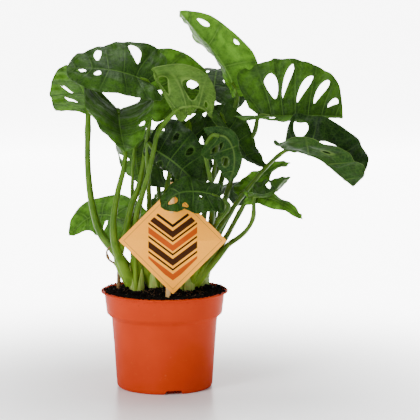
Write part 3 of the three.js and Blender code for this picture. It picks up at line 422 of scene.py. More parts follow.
        left_holes=[(0, 0.36, 0.82, 0.5, 0.1), (1, 0.24, 0.52, 0.6, 0.6)],
        right_holes=[(1, 0.48, 0.62, 0.2)],
    ),
    Leaf(
        "right_folded", "stem_far_right", tone=0.13, width=(20, 24), radius=(3.67, 2.5), lobe=0.6,
        midrib=[(52, 8, 257), (60, 4, 244), (71, 0, 229), (82, -5, 215), (97, -6, 207)],
        stalk=[(36, 20, 150), (48, 14, 210)], left_side=[(0.8, 0.3, 0.2)],
        right_side=[(-0.2, -0.95, 0.1)], right_holes=[(1, 0.3, 0.8, 0.5)],
    ),
    Leaf(
        "right_small", "stem_far_right", tone=0.72, width=(13, 12), radius=(3.24, 2.25), lobe=0.3,
        panels=3, midrib=[(70, 17, 180), (86, 15, 192), (102, 14, 204), (119, 14, 211)],
        stalk=[(47, 22, 130), (65, 18, 167)], left_side=[(-0.3, 0.6, 0.7)],
        right_side=[(0.3, -0.85, 0.1)],
    ),
    Leaf(
        "right_far_low", "stem_far_right", tone=0.1, width=(28, 28), radius=(3.46, 2.5),
        midrib=[(58, 62, 176), (70, 80, 184), (82, 98, 183), (92, 116, 172)],
        stalk=[(44, 34, 120), (52, 48, 156)], left_side=[(-0.8, 0.5, -0.15)],
        right_side=[(0.8, -0.5, -0.15)], left_holes=[(1, 0.3, 0.8, 0.5)],
        right_holes=[(1, 0.3, 0.8, 0.5)],
    ),
]


def spline(points, share):
    """Return the places on a smooth curve through the points, at shares from 0 to 1 of its spans.

    Each span is a cubic whose slope at a point is half the step between that point's neighbours.
    """
    knots = np.asarray(points, float)
    if len(knots) == 1:
        knots = np.repeat(knots, 2, axis=0)
    ends = np.vstack([2 * knots[0] - knots[1], knots, 2 * knots[-1] - knots[-2]])
    place = np.clip(share, 0, 1) * (len(knots) - 1)
    span = np.minimum(place.astype(int), len(knots) - 2)
    t = (place - span)[:, None]
    a, b, c, d = (ends[span + k] for k in range(4))
    bend, twist = 2 * a - 5 * b + 4 * c - d, 3 * b - a - 3 * c + d
    return 0.5 * (2 * b + (c - a) * t + bend * t**2 + twist * t**3)


def unit(vectors):
    """Scale vectors to length one."""
    return vectors / np.maximum(np.linalg.norm(vectors, axis=-1, keepdims=True), 1e-9)


def even_curve(points, count):
    """Return places at even distances on the curve through the points, its directions and its length."""
    fine = spline(points, np.linspace(0, 1, SPLINE_STEPS))
    travelled = np.concatenate([[0], np.cumsum(np.linalg.norm(np.diff(fine, axis=0), axis=1))])
    wanted = np.linspace(0, travelled[-1], count)
    places = np.stack([np.interp(wanted, travelled, fine[:, k]) for k in range(3)], axis=1)
    return places, unit(np.gradient(places, axis=0)), travelled[-1]


def columns_at(share, table):
    """Look rows of a table up at shares from 0 to 1 of its height."""
    stations = np.linspace(0, 1, len(table))
    return np.stack([np.interp(share, stations, table[:, k]) for k in range(table.shape[1])], axis=1)


def flat_places(leaf, s, v, hand, lobe):
    """Return how far a blade's points lie across in mm and along as a share of the midrib's length.

    s runs from the base to the tip, v from the midrib to the margin, and hand is 1 left and -1 right.
    A vein leaves the midrib at s to the power 1.2 and sweeps to the margin's own place along the leaf.
    The margin lies between the ovate and the round outline, and lobe scales what lies behind the base.
    """
    outline = OVATE_OUTLINE + (ROUND_OUTLINE - OVATE_OUTLINE) * leaf.outline
    edge_across, edge_along = spline(outline, s).T
    edge_along = np.where(edge_along < 0, edge_along * lobe, edge_along)
    root = s**VEIN_RISE_POWER
    across = np.where(hand > 0, *leaf.width) * edge_across * v
    return across, root + (edge_along - root) * v**VEIN_SWEEP_POWER


def blade_places(leaf, s, v, hand):
    """Return the middle surface of a blade and its upward directions.

    The flat places go along the midrib's curve and out in each half's own directions. Each half bends
    across as an arc, and a sine wave that grows with v squared lifts its margin.
    """
    across, along = flat_places(leaf, s, v, hand, leaf.lobe)
    is_left = hand > 0
    width = np.where(is_left, *leaf.width)
    curl = np.where(is_left, *leaf.curl)
    held = np.clip(along, 0, 1)
    places, tangents, length = even_curve(leaf.midrib, MIDRIB_STEPS)
    tangent = columns_at(held, tangents)
    place = columns_at(held, places) + tangent * ((along - held) * length)[:, None]
    side = np.where(is_left[:, None], spline(leaf.left_side, held), spline(leaf.right_side, held))
    side = unit(side - tangent * np.sum(side * tangent, axis=1, keepdims=True))
    up = np.cross(tangent, side) * hand[:, None]
    turn = curl * across / width
    height, count, phase = leaf.wave
    ripple = np.sin(2 * np.pi * count * s + phase + np.where(is_left, 0, RIGHT_PHASE))
    lift = height * v**2 * np.sin(np.pi * s) * ripple
    place = place + side * (width / curl * np.sin(turn))[:, None]
    return place + up * (lift - width / curl * (1 - np.cos(turn)))[:, None], up


def between_rows(ids, is_round):
    """Return the four-cornered faces between the rows of a grid of point numbers, closed round or open."""
    ahead = np.roll(ids, -1, axis=1)
    faces = np.stack([ids[:-1], ahead[:-1], ahead[1:], ids[1:]], axis=-1)
    return (faces if is_round else faces[:, :-1]).reshape(-1, 4)


def half_blade(leaf, hand, fine):
    """Return s, v and nearness to a hole of half a blade's points, its faces, and its grid's numbers.

    The half is a grid of s by v. Each hole takes a block of the grid, and rings of faces run there from
    the block's edge, where the nearness is 0, to the rim, where it is 1. With an angle that goes once
    round, the rim lies at its cosine along and its sine across, wider outwards and leant to one side.
    """
    steps = 2 * leaf.panels + 2
    rows = steps * fine
    columns = (len(VEIN_NODES) - 1) * fine
    grid_s, grid_j = np.meshgrid(np.arange(rows + 1) / rows, np.arange(columns + 1), indexing="ij")
    grid_v = np.interp(grid_j / fine, np.arange(len(VEIN_NODES)), VEIN_NODES)
    ids = np.arange(grid_s.size).reshape(grid_s.shape)
    ids[-1, :] = ids[-1, 0]
    is_open = np.ones((rows, columns), bool)
    all_s, all_v, all_near, faces = [grid_s.ravel()], [grid_v.ravel()], [np.zeros(grid_s.size)], []
    count = grid_s.size
    for panel, start, end, openness, *rest in leaf.left_holes if hand > 0 else leaf.right_holes:
        lean = rest[0] if rest else 0
        i0 = (1 + 2 * panel) * fine
        i1 = i0 + 2 * fine
        j0 = np.flatnonzero(VEIN_NODES[:-1] <= start - BLOCK_MARGIN)[-1] * fine
        j1 = np.flatnonzero(VEIN_NODES >= end + BLOCK_MARGIN)[0] * fine
        is_open[i0:i1, j0:j1] = False
        tall, wide = np.full(i1 - i0, 1), np.full(j1 - j0, 1)
        edge_i = np.concatenate([np.arange(i0, i1), i1 * wide, np.arange(i1, i0, -1), i0 * wide])
        edge_j = np.concatenate([j0 * tall, np.arange(j0, j1), j1 * tall, np.arange(j1, j0, -1)])
        edge_s, edge_v = grid_s[edge_i, edge_j], grid_v[edge_i, edge_j]
        low_v, high_v = grid_v[0, j0], grid_v[0, j1]
        angle = np.arctan2(
            (2 * edge_v - low_v - high_v) / (high_v - low_v), (edge_i - i0 - fine) / fine
        )
        rise = np.sin(angle)
        middle = (i0 + fine) / fine
        rim_s = (middle + openness * np.cos(angle) * (1 + HOLE_FLARE * rise) + lean * rise) / steps
        rim_v = (start + end) / 2 + (end - start) / 2 * rise
        share = (np.arange(1, HOLE_RINGS + 1) / HOLE_RINGS)[:, None]
        all_s.append((edge_s + (rim_s - edge_s) * share).ravel())
        all_v.append((edge_v + (rim_v - edge_v) * share).ravel())
        all_near.append(np.repeat(share[:, 0], len(edge_i)))
        ring = count + np.arange(HOLE_RINGS * len(edge_i)).reshape(HOLE_RINGS, -1)
        ring = np.vstack([ids[edge_i, edge_j], ring])
        count += HOLE_RINGS * len(edge_i)
        faces.append(between_rows(ring, True))
    faces.append(between_rows(ids, False)[is_open.ravel()][:, TURNED])
    return *(np.concatenate(part) for part in (all_s, all_v, all_near, faces)), ids


def split_faces(faces):
    """Cut four-cornered faces into triangles and drop the ones that have no area."""
    triangles = np.concatenate([faces[:, [0, 1, 2]], faces[:, [0, 2, 3]]])
    a, b, c = triangles.T
    return triangles[(a != b) & (b != c) & (c != a)]


def drop_unused(faces, *columns):
    """Renumber faces so that they use every point, and keep those points' values only."""
    used, renumbered = np.unique(faces, return_inverse=True)
    return (renumbered.reshape(faces.shape), *(column[used] for column in columns))


def point_normals(points, triangles):
    """Return the direction in which a surface faces at its points, by area."""
    a, b, c = (points[triangles[:, k]] for k in range(3))
    normals = np.zeros_like(points)
    face_normals = np.cross(b - a, c - a)
    for k in range(3):
        np.add.at(normals, triangles[:, k], face_normals)
    return unit(normals)


def open_edges(triangles):
    """Return the edges that only one triangle has, as pairs in that triangle's order."""
    edges = np.concatenate([triangles[:, [0, 1]], triangles[:, [1, 2]], triangles[:, [2, 0]]])
    size = triangles.max() + 1
    codes = edges[:, 0] * size + edges[:, 1]
    back = edges[:, 1] * size + edges[:, 0]
    return edges[~np.isin(codes, back)]


def closed_sheet(top, bottom, triangles):
    """Join an upper and a lower surface of the same faces with a rim. Return points and faces."""
    count = len(top)
    start, end = open_edges(triangles).T
    rim = np.concatenate([
        np.stack([end, start, start + count], axis=1),
        np.stack([end, start + count, end + count], axis=1),
    ])
    return np.concatenate([top, bottom]), np.concatenate([triangles, triangles[:, ::-1] + count, rim])


def relief(leaf, s, v, hand, near, across, along, settings, seed):
    """Return the height in mm by which a blade's upper face and its veins leave the smooth surface.

    The face bulges between two side veins as a raised cosine, sinks into a narrow groove along each
    vein as a bell curve, and rolls in long waves that differ from leaf to leaf. A lip rises round the
    holes and along the margin.
    """
    steps = 2 * leaf.panels + 2
    vein = s * steps / 2 - 0.5
    off_vein = np.abs(vein - np.round(vein))
    inner = np.sin(np.pi * np.clip(v, 0, 1) ** 0.8) ** 0.7
    ends = np.clip(np.sin(np.pi * np.clip(s, 0, 1)) * 3, 0, 1)
    bulge = settings.quilt_height * (0.5 - 0.5 * np.cos(2 * np.pi * vein)) * inner * ends
    groove = settings.groove_depth * np.exp(-((off_vein / GROOVE_HALF) ** 2)) * (1 - 0.6 * v) * ends
    draw = np.random.default_rng(seed)
    roll = np.zeros_like(s)
    for size, share in ROLL_WAVES:
        turn, shift = draw.uniform(0, 2 * np.pi, 2)
        roll += share * np.sin(2 * np.pi * (across * np.cos(turn) + along * np.sin(turn)) / size + shift)
    crinkle = np.sin(2 * np.pi * (CRINKLES + hand) * s + draw.uniform(0, 6)) * v**4
    roll = settings.roll_height * (roll * np.clip(np.abs(v) * 1.6, 0, 1) + 0.8 * crinkle) * ends
    lip = settings.lip_height * np.exp(-(((1 - near) / LIP_REACH) ** 2)) * ends
    valley = np.exp(-((across / MIDRIB_GROOVE_HALF) ** 2)) * (1 - 0.6 * s)
    midrib = settings.groove_depth * MIDRIB_GROOVE_SHARE * valley
    rib = settings.rib_height * (
        MIDRIB_RIB_SHARE * np.exp(-((across / MIDRIB_RIB_HALF) ** 2)) * (1 - 0.75 * s)
        + 0.5 * np.exp(-((off_vein / RIB_HALF) ** 2)) * (1 - 0.7 * v) * ends
    )
    return bulge * (1 - near) - groove - midrib + roll + lip, rib


def blade_mesh(leaf, settings, seed):
    """Return a blade's points, faces and shading values, and which of its faces are on the under side.

    The relief moves the middle surface along its own normals. The upper face lies half the thickness
    above that and the under face half the thickness and the ribs below. grain holds the place between
    two side veins, v and the mm between veins, sheet the flat place in mm and s, edge the nearness.
    """
    halves = [half_blade(leaf, hand, settings.detail) for hand in (1, -1)]
    (left_s, left_v, left_near, left_faces, left_ids), right = halves
    right_s, right_v, right_near, right_faces, right_ids = right
    shared = np.arange(len(right_s)) + len(left_s)
    shared[right_ids[:, 0]] = left_ids[:, 0]
    faces = np.concatenate([left_faces, shared[right_faces][:, ::-1]])
    s = np.concatenate([left_s, right_s])
    v = np.concatenate([left_v, right_v])
    hand = np.concatenate([np.ones(len(left_s)), -np.ones(len(right_s))])
    near = np.maximum(np.concatenate([left_near, right_near]), (v - EDGE_START) / (1 - EDGE_START))
    near = np.clip(near, 0, 1)
    triangles, s, v, hand, near = drop_unused(split_faces(faces), s, v, hand, near)
    smooth, _ = blade_places(leaf, s, v, hand)
    length = even_curve(leaf.midrib, LENGTH_STEPS)[2]
    across, along = flat_places(leaf, s, v, hand, 1)
    across, along = across * hand, along * length
    height, rib = relief(leaf, s, v, hand, near, across, along, settings, seed)
    normals = point_normals(smooth, triangles)
    middle = smooth + normals * height[:, None]
    normals = point_normals(middle, triangles)
    half = settings.thickness / MM / 2
    top = middle + normals * half
    bottom = middle - normals * (half + rib)[:, None]
    points, faces = closed_sheet(top, bottom, triangles)
    vein = s * (leaf.panels + 1) - 0.5
    panel = np.full_like(s, length / (leaf.panels + 1))
    grain = np.tile(np.stack([vein, v, panel], axis=1), (2, 1))
    sheet = np.tile(np.stack([across, along + SHEET_SHIFT * seed, s], axis=1), (2, 1))
    values = {"grain": grain, "sheet": sheet, "edge": np.tile(near, 2)}
    is_under = np.zeros(len(faces), int)
    is_under[len(triangles):2 * len(triangles)] = 1
    return points, faces, values, is_under


def stalk_path(leaf):
    """Return the points that a stalk runs through: from its foot, up to and on under the midrib."""
    (x, y), _ = FEET[leaf.stem]
    share = np.array([0.01, STALK_RUN_ON])
    places, tangents, _ = even_curve(leaf.midrib, MIDRIB_STEPS)
    middle = columns_at(share, places)
    near, _ = blade_places(leaf, share, np.array([0.02, 0.02]), np.ones(2))
    out, _ = blade_places(leaf, share, np.array([0.1, 0.1]), np.ones(2))
    up = unit(np.cross(columns_at(share, tangents), out - near))
    last = middle - up * np.array([[leaf.radius[1] * 0.7], [0.5]])
    return np.vstack([[x, y, ROOT_HEIGHT], leaf.stalk, last]), up[0]


def tube(centres, tangents, reference, radii, sides):
    """Return points and faces of a closed tube of rings around a curve.

    reference gives one direction for each ring, or one for all, from which its angle is counted. radii
    has a row for each ring and a column for each side, so that the tube may taper and be ribbed.
    """
    first = unit(reference - tangents * np.sum(reference * tangents, axis=1, keepdims=True))
    second = np.cross(tangents, first)
    angle = np.linspace(0, 2 * np.pi, sides, endpoint=False)
    spread = (
        first[:, None] * np.cos(angle)[:, None] + second[:, None] * np.sin(angle)[:, None]
    ) * np.broadcast_to(radii, (len(centres), sides))[..., None]
    points = np.concatenate([(centres[:, None] + spread).reshape(-1, 3), centres[[0, -1]]])
    ids = np.arange(len(centres) * sides).reshape(len(centres), sides)
    ahead = np.roll(ids, -1, axis=1)
    low, high = np.full(sides, ids.size), np.full(sides, ids.size + 1)
    caps = [
        np.stack([low, ahead[0], ids[0]], axis=1),
        np.stack([high, ids[-1], ahead[-1]], axis=1),
    ]
    return points, np.concatenate([split_faces(between_rows(ids, True)), *caps])


def lathe(profile, segments):
    """Return points and faces of a closed profile of [radius, height] turned about the Z axis."""
    radius, height = np.asarray(profile, float).T
    angle = np.linspace(0, 2 * np.pi, segments, endpoint=False)
    points = np.stack([
        np.outer(radius, np.cos(angle)), np.outer(radius, np.sin(angle)),
        np.repeat(height[:, None], segments, axis=1),
    ], axis=-1)
    ids = np.arange(radius.size * segments).reshape(radius.size, segments)
    ids[radius == 0] = ids[radius == 0][:, :1]
    faces, points = drop_unused(split_faces(between_rows(ids, True)), points.reshape(-1, 3))
    return points, faces


def join(*parts):
    """Put several (points, faces) together as one."""
    points, faces, count = [], [], 0
    for part_points, part_faces in parts:
        points.append(part_points)
        faces.append(part_faces + count)
        count += len(part_points)
    return np.concatenate(points), np.concatenate(faces)


def add_piece(name, points, faces, materials, nodes, slot, values=None, material_index=None, sharp=40):
    """Make a mesh object in metres from millimetre points, let it ride on the body and stand for nodes."""
    mesh = bpy.data.meshes.new(name)
    mesh.vertices.add(len(points))
    mesh.vertices.foreach_set("co", (points * MM).ravel())
    mesh.loops.add(faces.size)
    mesh.loops.foreach_set("vertex_index", faces.astype(np.int32).ravel())
    mesh.polygons.add(len(faces))
    mesh.polygons.foreach_set("loop_start", np.arange(0, faces.size, 3, dtype=np.int32))
    mesh.update(calc_edges=True)
    mesh.polygons.foreach_set("use_smooth", np.ones(len(faces), bool))
    for key, rows in (values or {}).items():
        is_vector = rows.ndim == 2
        layer = mesh.attributes.new(key, "FLOAT_VECTOR" if is_vector else "FLOAT", "POINT")
        layer.data.foreach_set("vector" if is_vector else "value", rows.astype(np.float32).ravel())
    for material in materials:
        mesh.materials.append(material)
    if material_index is not None:
        mesh.polygons.foreach_set("material_index", material_index.astype(np.int32))
    mesh.set_sharp_from_angle(angle=np.radians(sharp))
    piece = bpy.data.objects.new(name, mesh)
    bpy.context.scene.collection.objects.link(piece)
    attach(piece, BODY)
    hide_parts(*nodes)
    return piece


def srgb(hex_colour):
    """Turn an sRGB hex colour into the linear values that Blender's sockets take."""
    channels = np.array([int(hex_colour[k:k + 2], 16) for k in (1, 3, 5)]) / 255
    linear = np.where(channels <= 0.04045, channels / 12.92, ((channels + 0.055) / 1.055) ** 2.4)
    return (*linear.tolist(), 1.0)


# Settings of the nodes that the materials are made of
TIMES = {"operation": "MULTIPLY"}
TIMES_PLUS = {"operation": "MULTIPLY_ADD"}
PLUS = {"operation": "ADD"}
LARGER = {"operation": "MAXIMUM"}
ABSOLUTE = {"operation": "ABSOLUTE"}
ZIGZAG = {"operation": "PINGPONG"}
SMOOTH = {"interpolation_type": "SMOOTHSTEP"}
COLOURS = {"data_type": "RGBA"}


class Finish:
    """A procedural material under construction."""

    def __init__(self, name):
        self.material = bpy.data.materials.new(name)
        self.material.use_nodes = True
        self.tree = self.material.node_tree
        self.tree.nodes.clear()

    def add(self, kind, *values, output=None, **settings):
        """Add a node with its settings, and return its named output or else its first one.

        kind is what its type's name says after ShaderNode. Values fill the sockets in their order, and a
        dict fills them by name. A socket among the values is linked, and another value is set.
        """
        made = self.tree.nodes.new("ShaderNode" + kind)
        for key, value in settings.items():
            setattr(made, key, value)
        if values and isinstance(values[0], dict):
            pairs = [(made.inputs[key], value) for key, value in values[0].items()]
        else:
            pairs = zip([socket for socket in made.inputs if socket.enabled], values)
        for socket, value in pairs:
            if isinstance(value, bpy.types.NodeSocket):
                self.tree.links.new(value, socket)
            else:
                socket.default_value = value
        outputs = [socket for socket in made.outputs if socket.enabled]
        return made.outputs[output] if output else outputs[0] if outputs else None

    def numbers(self, name):
        """Read a vector that the mesh carries, as three numbers."""
        vector = self.add("Attribute", output="Vector", attribute_name=name)
        return self.add("SeparateXYZ", vector).node.outputs

    def place(self):
        """Read the place on the object in mm."""
        return self.add("VectorMath", self.add("TexCoord", output="Object"), 1 / MM, operation="SCALE")

    def steps(self, *rows):
        """Multiply smooth steps. A row is a pattern, the step's start and end, and its value at both."""
        share, *others = [self.add("MapRange", *row, **SMOOTH) for row in rows]
        for other in others:
            share = self.add("Math", share, other, **TIMES)
        return share

    def tint(self, body, colour, *rows):
        """Mix a colour into the body by the product of smooth steps."""
        return self.add("Mix", self.steps(*rows), body, colour, **COLOURS)

    def finish(self, colour, roughness, height=None, **settings):
        """Add the surface shader, with a bump whose height is in mm, and return the material."""
        inputs = {"Base Color": colour, "Roughness": roughness}
        inputs.update({key.replace("_", " "): value for key, value in settings.items()})
        if height is not None:
            inputs["Normal"] = self.add("Bump", {"Height": height, "Distance": MM, "Strength": 1.0})
        self.add("OutputMaterial", {"Surface": self.add("BsdfPrincipled", inputs)})
        return self.material


def leaf_finish(name, dark, bright, pale, gloss, depth, rim, soft):
    """Living leaf tissue with its wax: a soft gloss over a green that varies from place to place.

    Painted shade darkens the green near the midrib, in the grooves along the side veins and round the holes
    and the margin. The midrib, the side veins, the small veins between them, their fine net and the margin
    are pale lines of their own strengths. Low puffs between the veins make the gloss uneven. gloss is the
    least roughness, depth how strong the painted shade is, rim how pale the margin is, and soft how much
    light enters the leaf.
    """
    make = Finish(name)
    vein, v, panel = make.numbers("grain")
    across, along, s = make.numbers("sheet")
    tone, edge = (make.add("Attribute", output="Fac", attribute_name=key) for key in ("tone", "edge"))
    flat = make.add("CombineXYZ", across, along)
    off_vein = make.add("Math", make.add("Math", vein, 0.5, **ZIGZAG), panel, **TIMES)
    off_minor = make.add("Math", make.add("Math", vein, 4.0, **TIMES), 0.5, **ZIGZAG)
    off_midrib = make.add("Math", across, **ABSOLUTE)
    cells = make.add("TexVoronoi", flat, 1 / 2.6, feature="DISTANCE_TO_EDGE")

    # The tone mixes dark and bright green: partly the leaf's age, partly painted light and shade of where
    # it sits in the plant
    body = make.add("Mix", tone, dark, bright, **COLOURS)
    # Random patches of brighter green, more on bright leaves; they also stand in for painted glow where
    # light shines through the leaf
    cloud = make.steps((make.add("TexNoise", flat, 1 / 16, 5.0, 0.6), 0.38, 0.7))
    share = make.add("Math", cloud, make.add("Math", tone, 0.4, 0.06, **TIMES_PLUS), **TIMES)
    body = make.add("Mix", share, body, bright, **COLOURS)
    shade = make.add("TexNoise", flat, 1 / 6, 4.0, 0.6)
    greyed = make.add("Mix", 1.0, body, srgb("#6f8060"), blend_type="MULTIPLY", **COLOURS)
    body = make.tint(body, greyed, (shade, 0.4, 0.7, 0.0, 0.6))
    # Painted shade: darker near the midrib, in the grooves along the side veins, and round the holes and
    # the margin
    for row in (
        (v, 0.0, 0.6, depth, 0.0), (off_vein, 0.3, 3.2, depth, 0.0), (edge, 0.05, 0.6, 0.0, 0.45 * depth),
    ):
        body = make.tint(body, dark, row)

    lines = 0.0
    for rows in (
        ((off_midrib, 0.4, 1.2, 0.5, 0.0), (s, 0.0, 1.0, 1.0, 0.4)),
        ((off_vein, 0.15, 0.75, 0.3, 0.0), (v, 0.2, 1.0, 1.0, 0.3)),
        ((off_minor, 0.02, 0.12, 0.06, 0.0),),
        ((cells, 0.02, 0.1, 0.1, 0.0),),
        ((edge, 0.72, 0.95, 0.0, rim),),
    ):
        lines = make.add("Math", make.steps(*rows), lines, **LARGER)
    lines = make.add("Math", lines, make.add("Math", tone, 0.5, 0.5, **TIMES_PLUS), **TIMES)
    body = make.add("Mix", lines, body, pale, **COLOURS)

    height = make.steps((off_minor, 0.0, 0.5, 0.0, 0.07))
    height = make.add("Math", make.steps((cells, 0.0, 0.35)), 0.1, height, **TIMES_PLUS)
    height = make.add("Math", make.add("TexNoise", flat, 1 / 7, 3.0, 0.5), 1.1, height, **TIMES_PLUS)
    roughness = make.steps((make.add("TexNoise", flat, 1 / 3, 4.0, 0.5), 0.3, 0.7, gloss, gloss + 0.12))
    return make.finish(
        body, roughness, height, Subsurface_Weight=soft, Subsurface_Radius=(0.0006, 0.0012, 0.0003),
        Specular_IOR_Level=0.28, IOR=1.25,
    )


def streaks(make, fineness, stretch):
    """Return noise drawn out along a stalk, and the height above ground, for a material in the making."""
    around, along, height = make.numbers("sheet")
    turned = make.add("Math", around, fineness, **TIMES)
    drawn_out = make.add("Math", along, stretch, **TIMES)
    return make.add("TexNoise", make.add("CombineXYZ", turned, drawn_out), 1.0, 4.0, 0.5), height


def stalk_finish():
    """The living skin of a stalk: smooth, softly glossy and finely streaked, paler towards the soil."""
    make = Finish("fresh_green_stalk")
    streak, height = streaks(make, 9.0, 0.09)
    tone = make.add("Attribute", output="Fac", attribute_name="tone")
    patch = make.add("TexNoise", make.place(), 1 / 9, 3.0, 0.5)
    body = make.add("Mix", tone, srgb("#122e04"), srgb("#3a5e08"), **COLOURS)
    for colour, *row in (
        ("#7ea028", height, 84.0, 145.0, 0.8, 0.0), ("#7a9a2a", streak, 0.35, 0.7, 0.0, 0.36),
        ("#16400a", patch, 0.45, 0.75, 0.0, 0.35), ("#8c9a50", height, 88.0, 99.0, 0.35, 0.0),
    ):
        body = make.tint(body, srgb(colour), row)
    return make.finish(
        body, make.steps((patch, 0.3, 0.7, 0.4, 0.54)), make.add("Math", streak, 0.25, **TIMES),
        Subsurface_Weight=0.08, Subsurface_Radius=(0.001, 0.002, 0.0005), IOR=1.25,
    )


def sheath_finish():
    """The papery skin of an old sheath: dull and streaked, pale green that turns straw-brown in spots."""
    make = Finish("papery_sheath")
    streak, _ = streaks(make, 12.0, 0.1)
    patch = make.add("TexNoise", make.place(), 1 / 6, 3.0, 0.5)
    body = make.tint(srgb("#6f9626"), srgb("#a4b858"), (streak, 0.3, 0.7))
    body = make.tint(body, srgb("#96783c"), (patch, 0.55, 0.75, 0.0, 0.5))
    return make.finish(body, 0.6, make.add("Math", streak, 0.3, **TIMES), Subsurface_Weight=0.08)


def plastic_finish(colour):
    """Injection-moulded plastic: an even half-dull skin with fine rings, scuffs and dust by the lip."""
    make = Finish("terracotta_plastic")
    place = make.place()
    z = make.add("SeparateXYZ", place, output="Z")
    cloud = make.add("TexNoise", place, 1 / 38, 3.0, 0.5)
    grain = make.add("TexNoise", place, 1 / 0.7, 2.0, 0.5)
    scuff = make.add("TexNoise", place, 1 / 4, 6.0, 0.7)
    speck = make.add("TexNoise", place, 1 / 2.2, 5.0, 0.7)
    body = make.tint(colour, srgb("#a8300e"), (cloud, 0.3, 0.7, 0.0, 0.5))
    body = make.tint(body, srgb("#c85a2c"), (scuff, 0.6, 0.72, 0.0, 0.3))
    body = make.tint(body, srgb("#3a2216"), (speck, 0.56, 0.7, 0.0, 0.55), (z, 78.0, 92.0, 0.0, 1.0))
    rings = make.add("Math", make.add("Math", z, 2.1, **TIMES), operation="SINE")
    height = make.add("Math", rings, 0.012, make.add("Math", grain, 0.03, **TIMES), **TIMES_PLUS)
    return make.finish(
        body, make.steps((cloud, 0.3, 0.7, 0.42, 0.5)), height, Subsurface_Weight=0.04,
        Subsurface_Radius=(0.002, 0.0008, 0.0003), IOR=1.1,
    )


def peat_finish():
    """Moist potting peat: nearly black and without gloss, with lighter fibres and grains."""
    make = Finish("moist_peat")
    place = make.place()
    lump = make.add("TexNoise", place, 1 / 5, 5.0, 0.65)
    grain = make.add("TexNoise", place, 1 / 0.9, 4.0, 0.7)
    body = make.tint(srgb("#040201"), srgb("#0f0805"), (lump, 0.3, 0.7))
    body = make.tint(body, srgb("#2c1c10"), (grain, 0.58, 0.75, 0.0, 0.6))
    height = make.add("Math", lump, 1.2, make.add("Math", grain, 0.9, **TIMES), **TIMES_PLUS)
    return make.finish(body, make.steps((grain, 0.3, 0.7, 0.75, 0.95)), height, Specular_IOR_Level=0.1)


def fibre_finish(name, dark, light, size):
    """Dry plant fibre or bare wood: dull, with lighter patches of about size mm."""
    make = Finish(name)
    patch = make.add("TexNoise", make.place(), 1 / size, 5.0, 0.65)
    body = make.tint(srgb(dark), srgb(light), (patch, 0.3, 0.7))
    return make.finish(body, 0.85, make.add("Math", patch, 0.6, **TIMES))


def card_finish(colour, reach, is_printed):
    """Kraft card: dull paper with short fibres and flecks, plain or printed in dark inks.

    The print is made of distances from the card's middle line and from the middle of the card along
    its diagonals. reach is how far the card's own edge is that way, where the paper is worn pale.
    """
    make = Finish("printed_kraft_card" if is_printed else "plain_kraft_card")
    place = make.place()
    fibre = make.add("TexNoise", place, 1 / 1.1, 4.0, 0.6)
    cloud = make.add("TexNoise", place, 1 / 20, 2.0, 0.5)
    fleck = make.add("TexNoise", place, 1 / 0.5, 1.0, 0.5)
    paper = make.tint(colour, srgb("#f29a1c"), (fibre, 0.3, 0.7, 0.0, 0.6))
    paper = make.tint(paper, srgb("#f8aa34"), (cloud, 0.35, 0.7, 0.0, 0.4))
    paper = make.tint(paper, srgb("#96602c"), (fleck, 0.72, 0.76, 0.0, 0.5))
    height = make.add("Math", fibre, 0.05, **TIMES)
    if not is_printed:
        return make.finish(paper, 0.65, height, IOR=1.15)

    x, _, z = make.add("SeparateXYZ", place).node.outputs
    middle_x = (LABEL_LOW[0] + LABEL_HIGH[0]) / 2
    middle_z = LABEL_HIGH[2] - (LABEL_HIGH[0] - LABEL_LOW[0]) / 2
    aside = make.add("Math", make.add("Math", x, -middle_x, **PLUS), **ABSOLUTE)
    up = make.add("Math", z, -middle_z, **PLUS)
    away = make.add("Math", aside, make.add("Math", up, **ABSOLUTE), **PLUS)
    chevron = make.add("Math", aside, -CHEVRON_SLOPE, up, **TIMES_PLUS)
    panel = (
        (aside, PANEL_HALF_WIDTH - INK_BLUR, PANEL_HALF_WIDTH + INK_BLUR, 1.0, 0.0),
        (away, PANEL_REACH - INK_BLUR, PANEL_REACH + INK_BLUR, 1.0, 0.0),
    )
    for low, high, ink in CHEVRONS:
        stripe = (
            (chevron, low - INK_BLUR, low + INK_BLUR, 0.0, 1.0),
            (chevron, high - INK_BLUR, high + INK_BLUR, 1.0, 0.0),
        )
        paper = make.tint(paper, srgb(ink), *stripe, *panel)
    line = (
        (away, BORDER_REACH - 0.5, BORDER_REACH - 0.3, 0.0, 0.7),
        (away, BORDER_REACH + 0.3, BORDER_REACH + 0.5, 1.0, 0.0),
    )
    paper = make.tint(paper, srgb("#8a5a30"), *line)
    paper = make.tint(paper, srgb("#f4b868"), (away, reach - 1.0, reach - 0.2, 0.0, 0.6))
    return make.finish(paper, 0.65, height, IOR=1.15)


def floor_finish():
    """White acrylic sheet: even and softly glossy, with a glow of its own behind the object."""
    make = Finish("white_acrylic_floor")
    place = make.place()
    cloud = make.add("TexNoise", place, 1 / 900, 1.0, 0.5)
    body = make.tint(srgb("#f6f6f6"), srgb("#fafafa"), (cloud, 0.4, 0.6))
    x, y, z = make.add("SeparateXYZ", place).node.outputs
    away = make.add("Math", make.add("Math", x, x, **TIMES), make.add("Math", y, y, **TIMES), **PLUS)
    away = make.add("Math", away, operation="SQRT")
    glow = make.steps(
        (away, 75.0, 520.0), (y, -250.0, 350.0, 0.35, 1.0),
        (make.add("Math", x, **ABSOLUTE), 520.0, 850.0, 1.0, 0.08), (z, 260.0, 700.0, 7.0, 0.3),
    )
    return make.finish(body, 0.28, Emission_Color=(1, 1, 1, 1), Emission_Strength=glow)


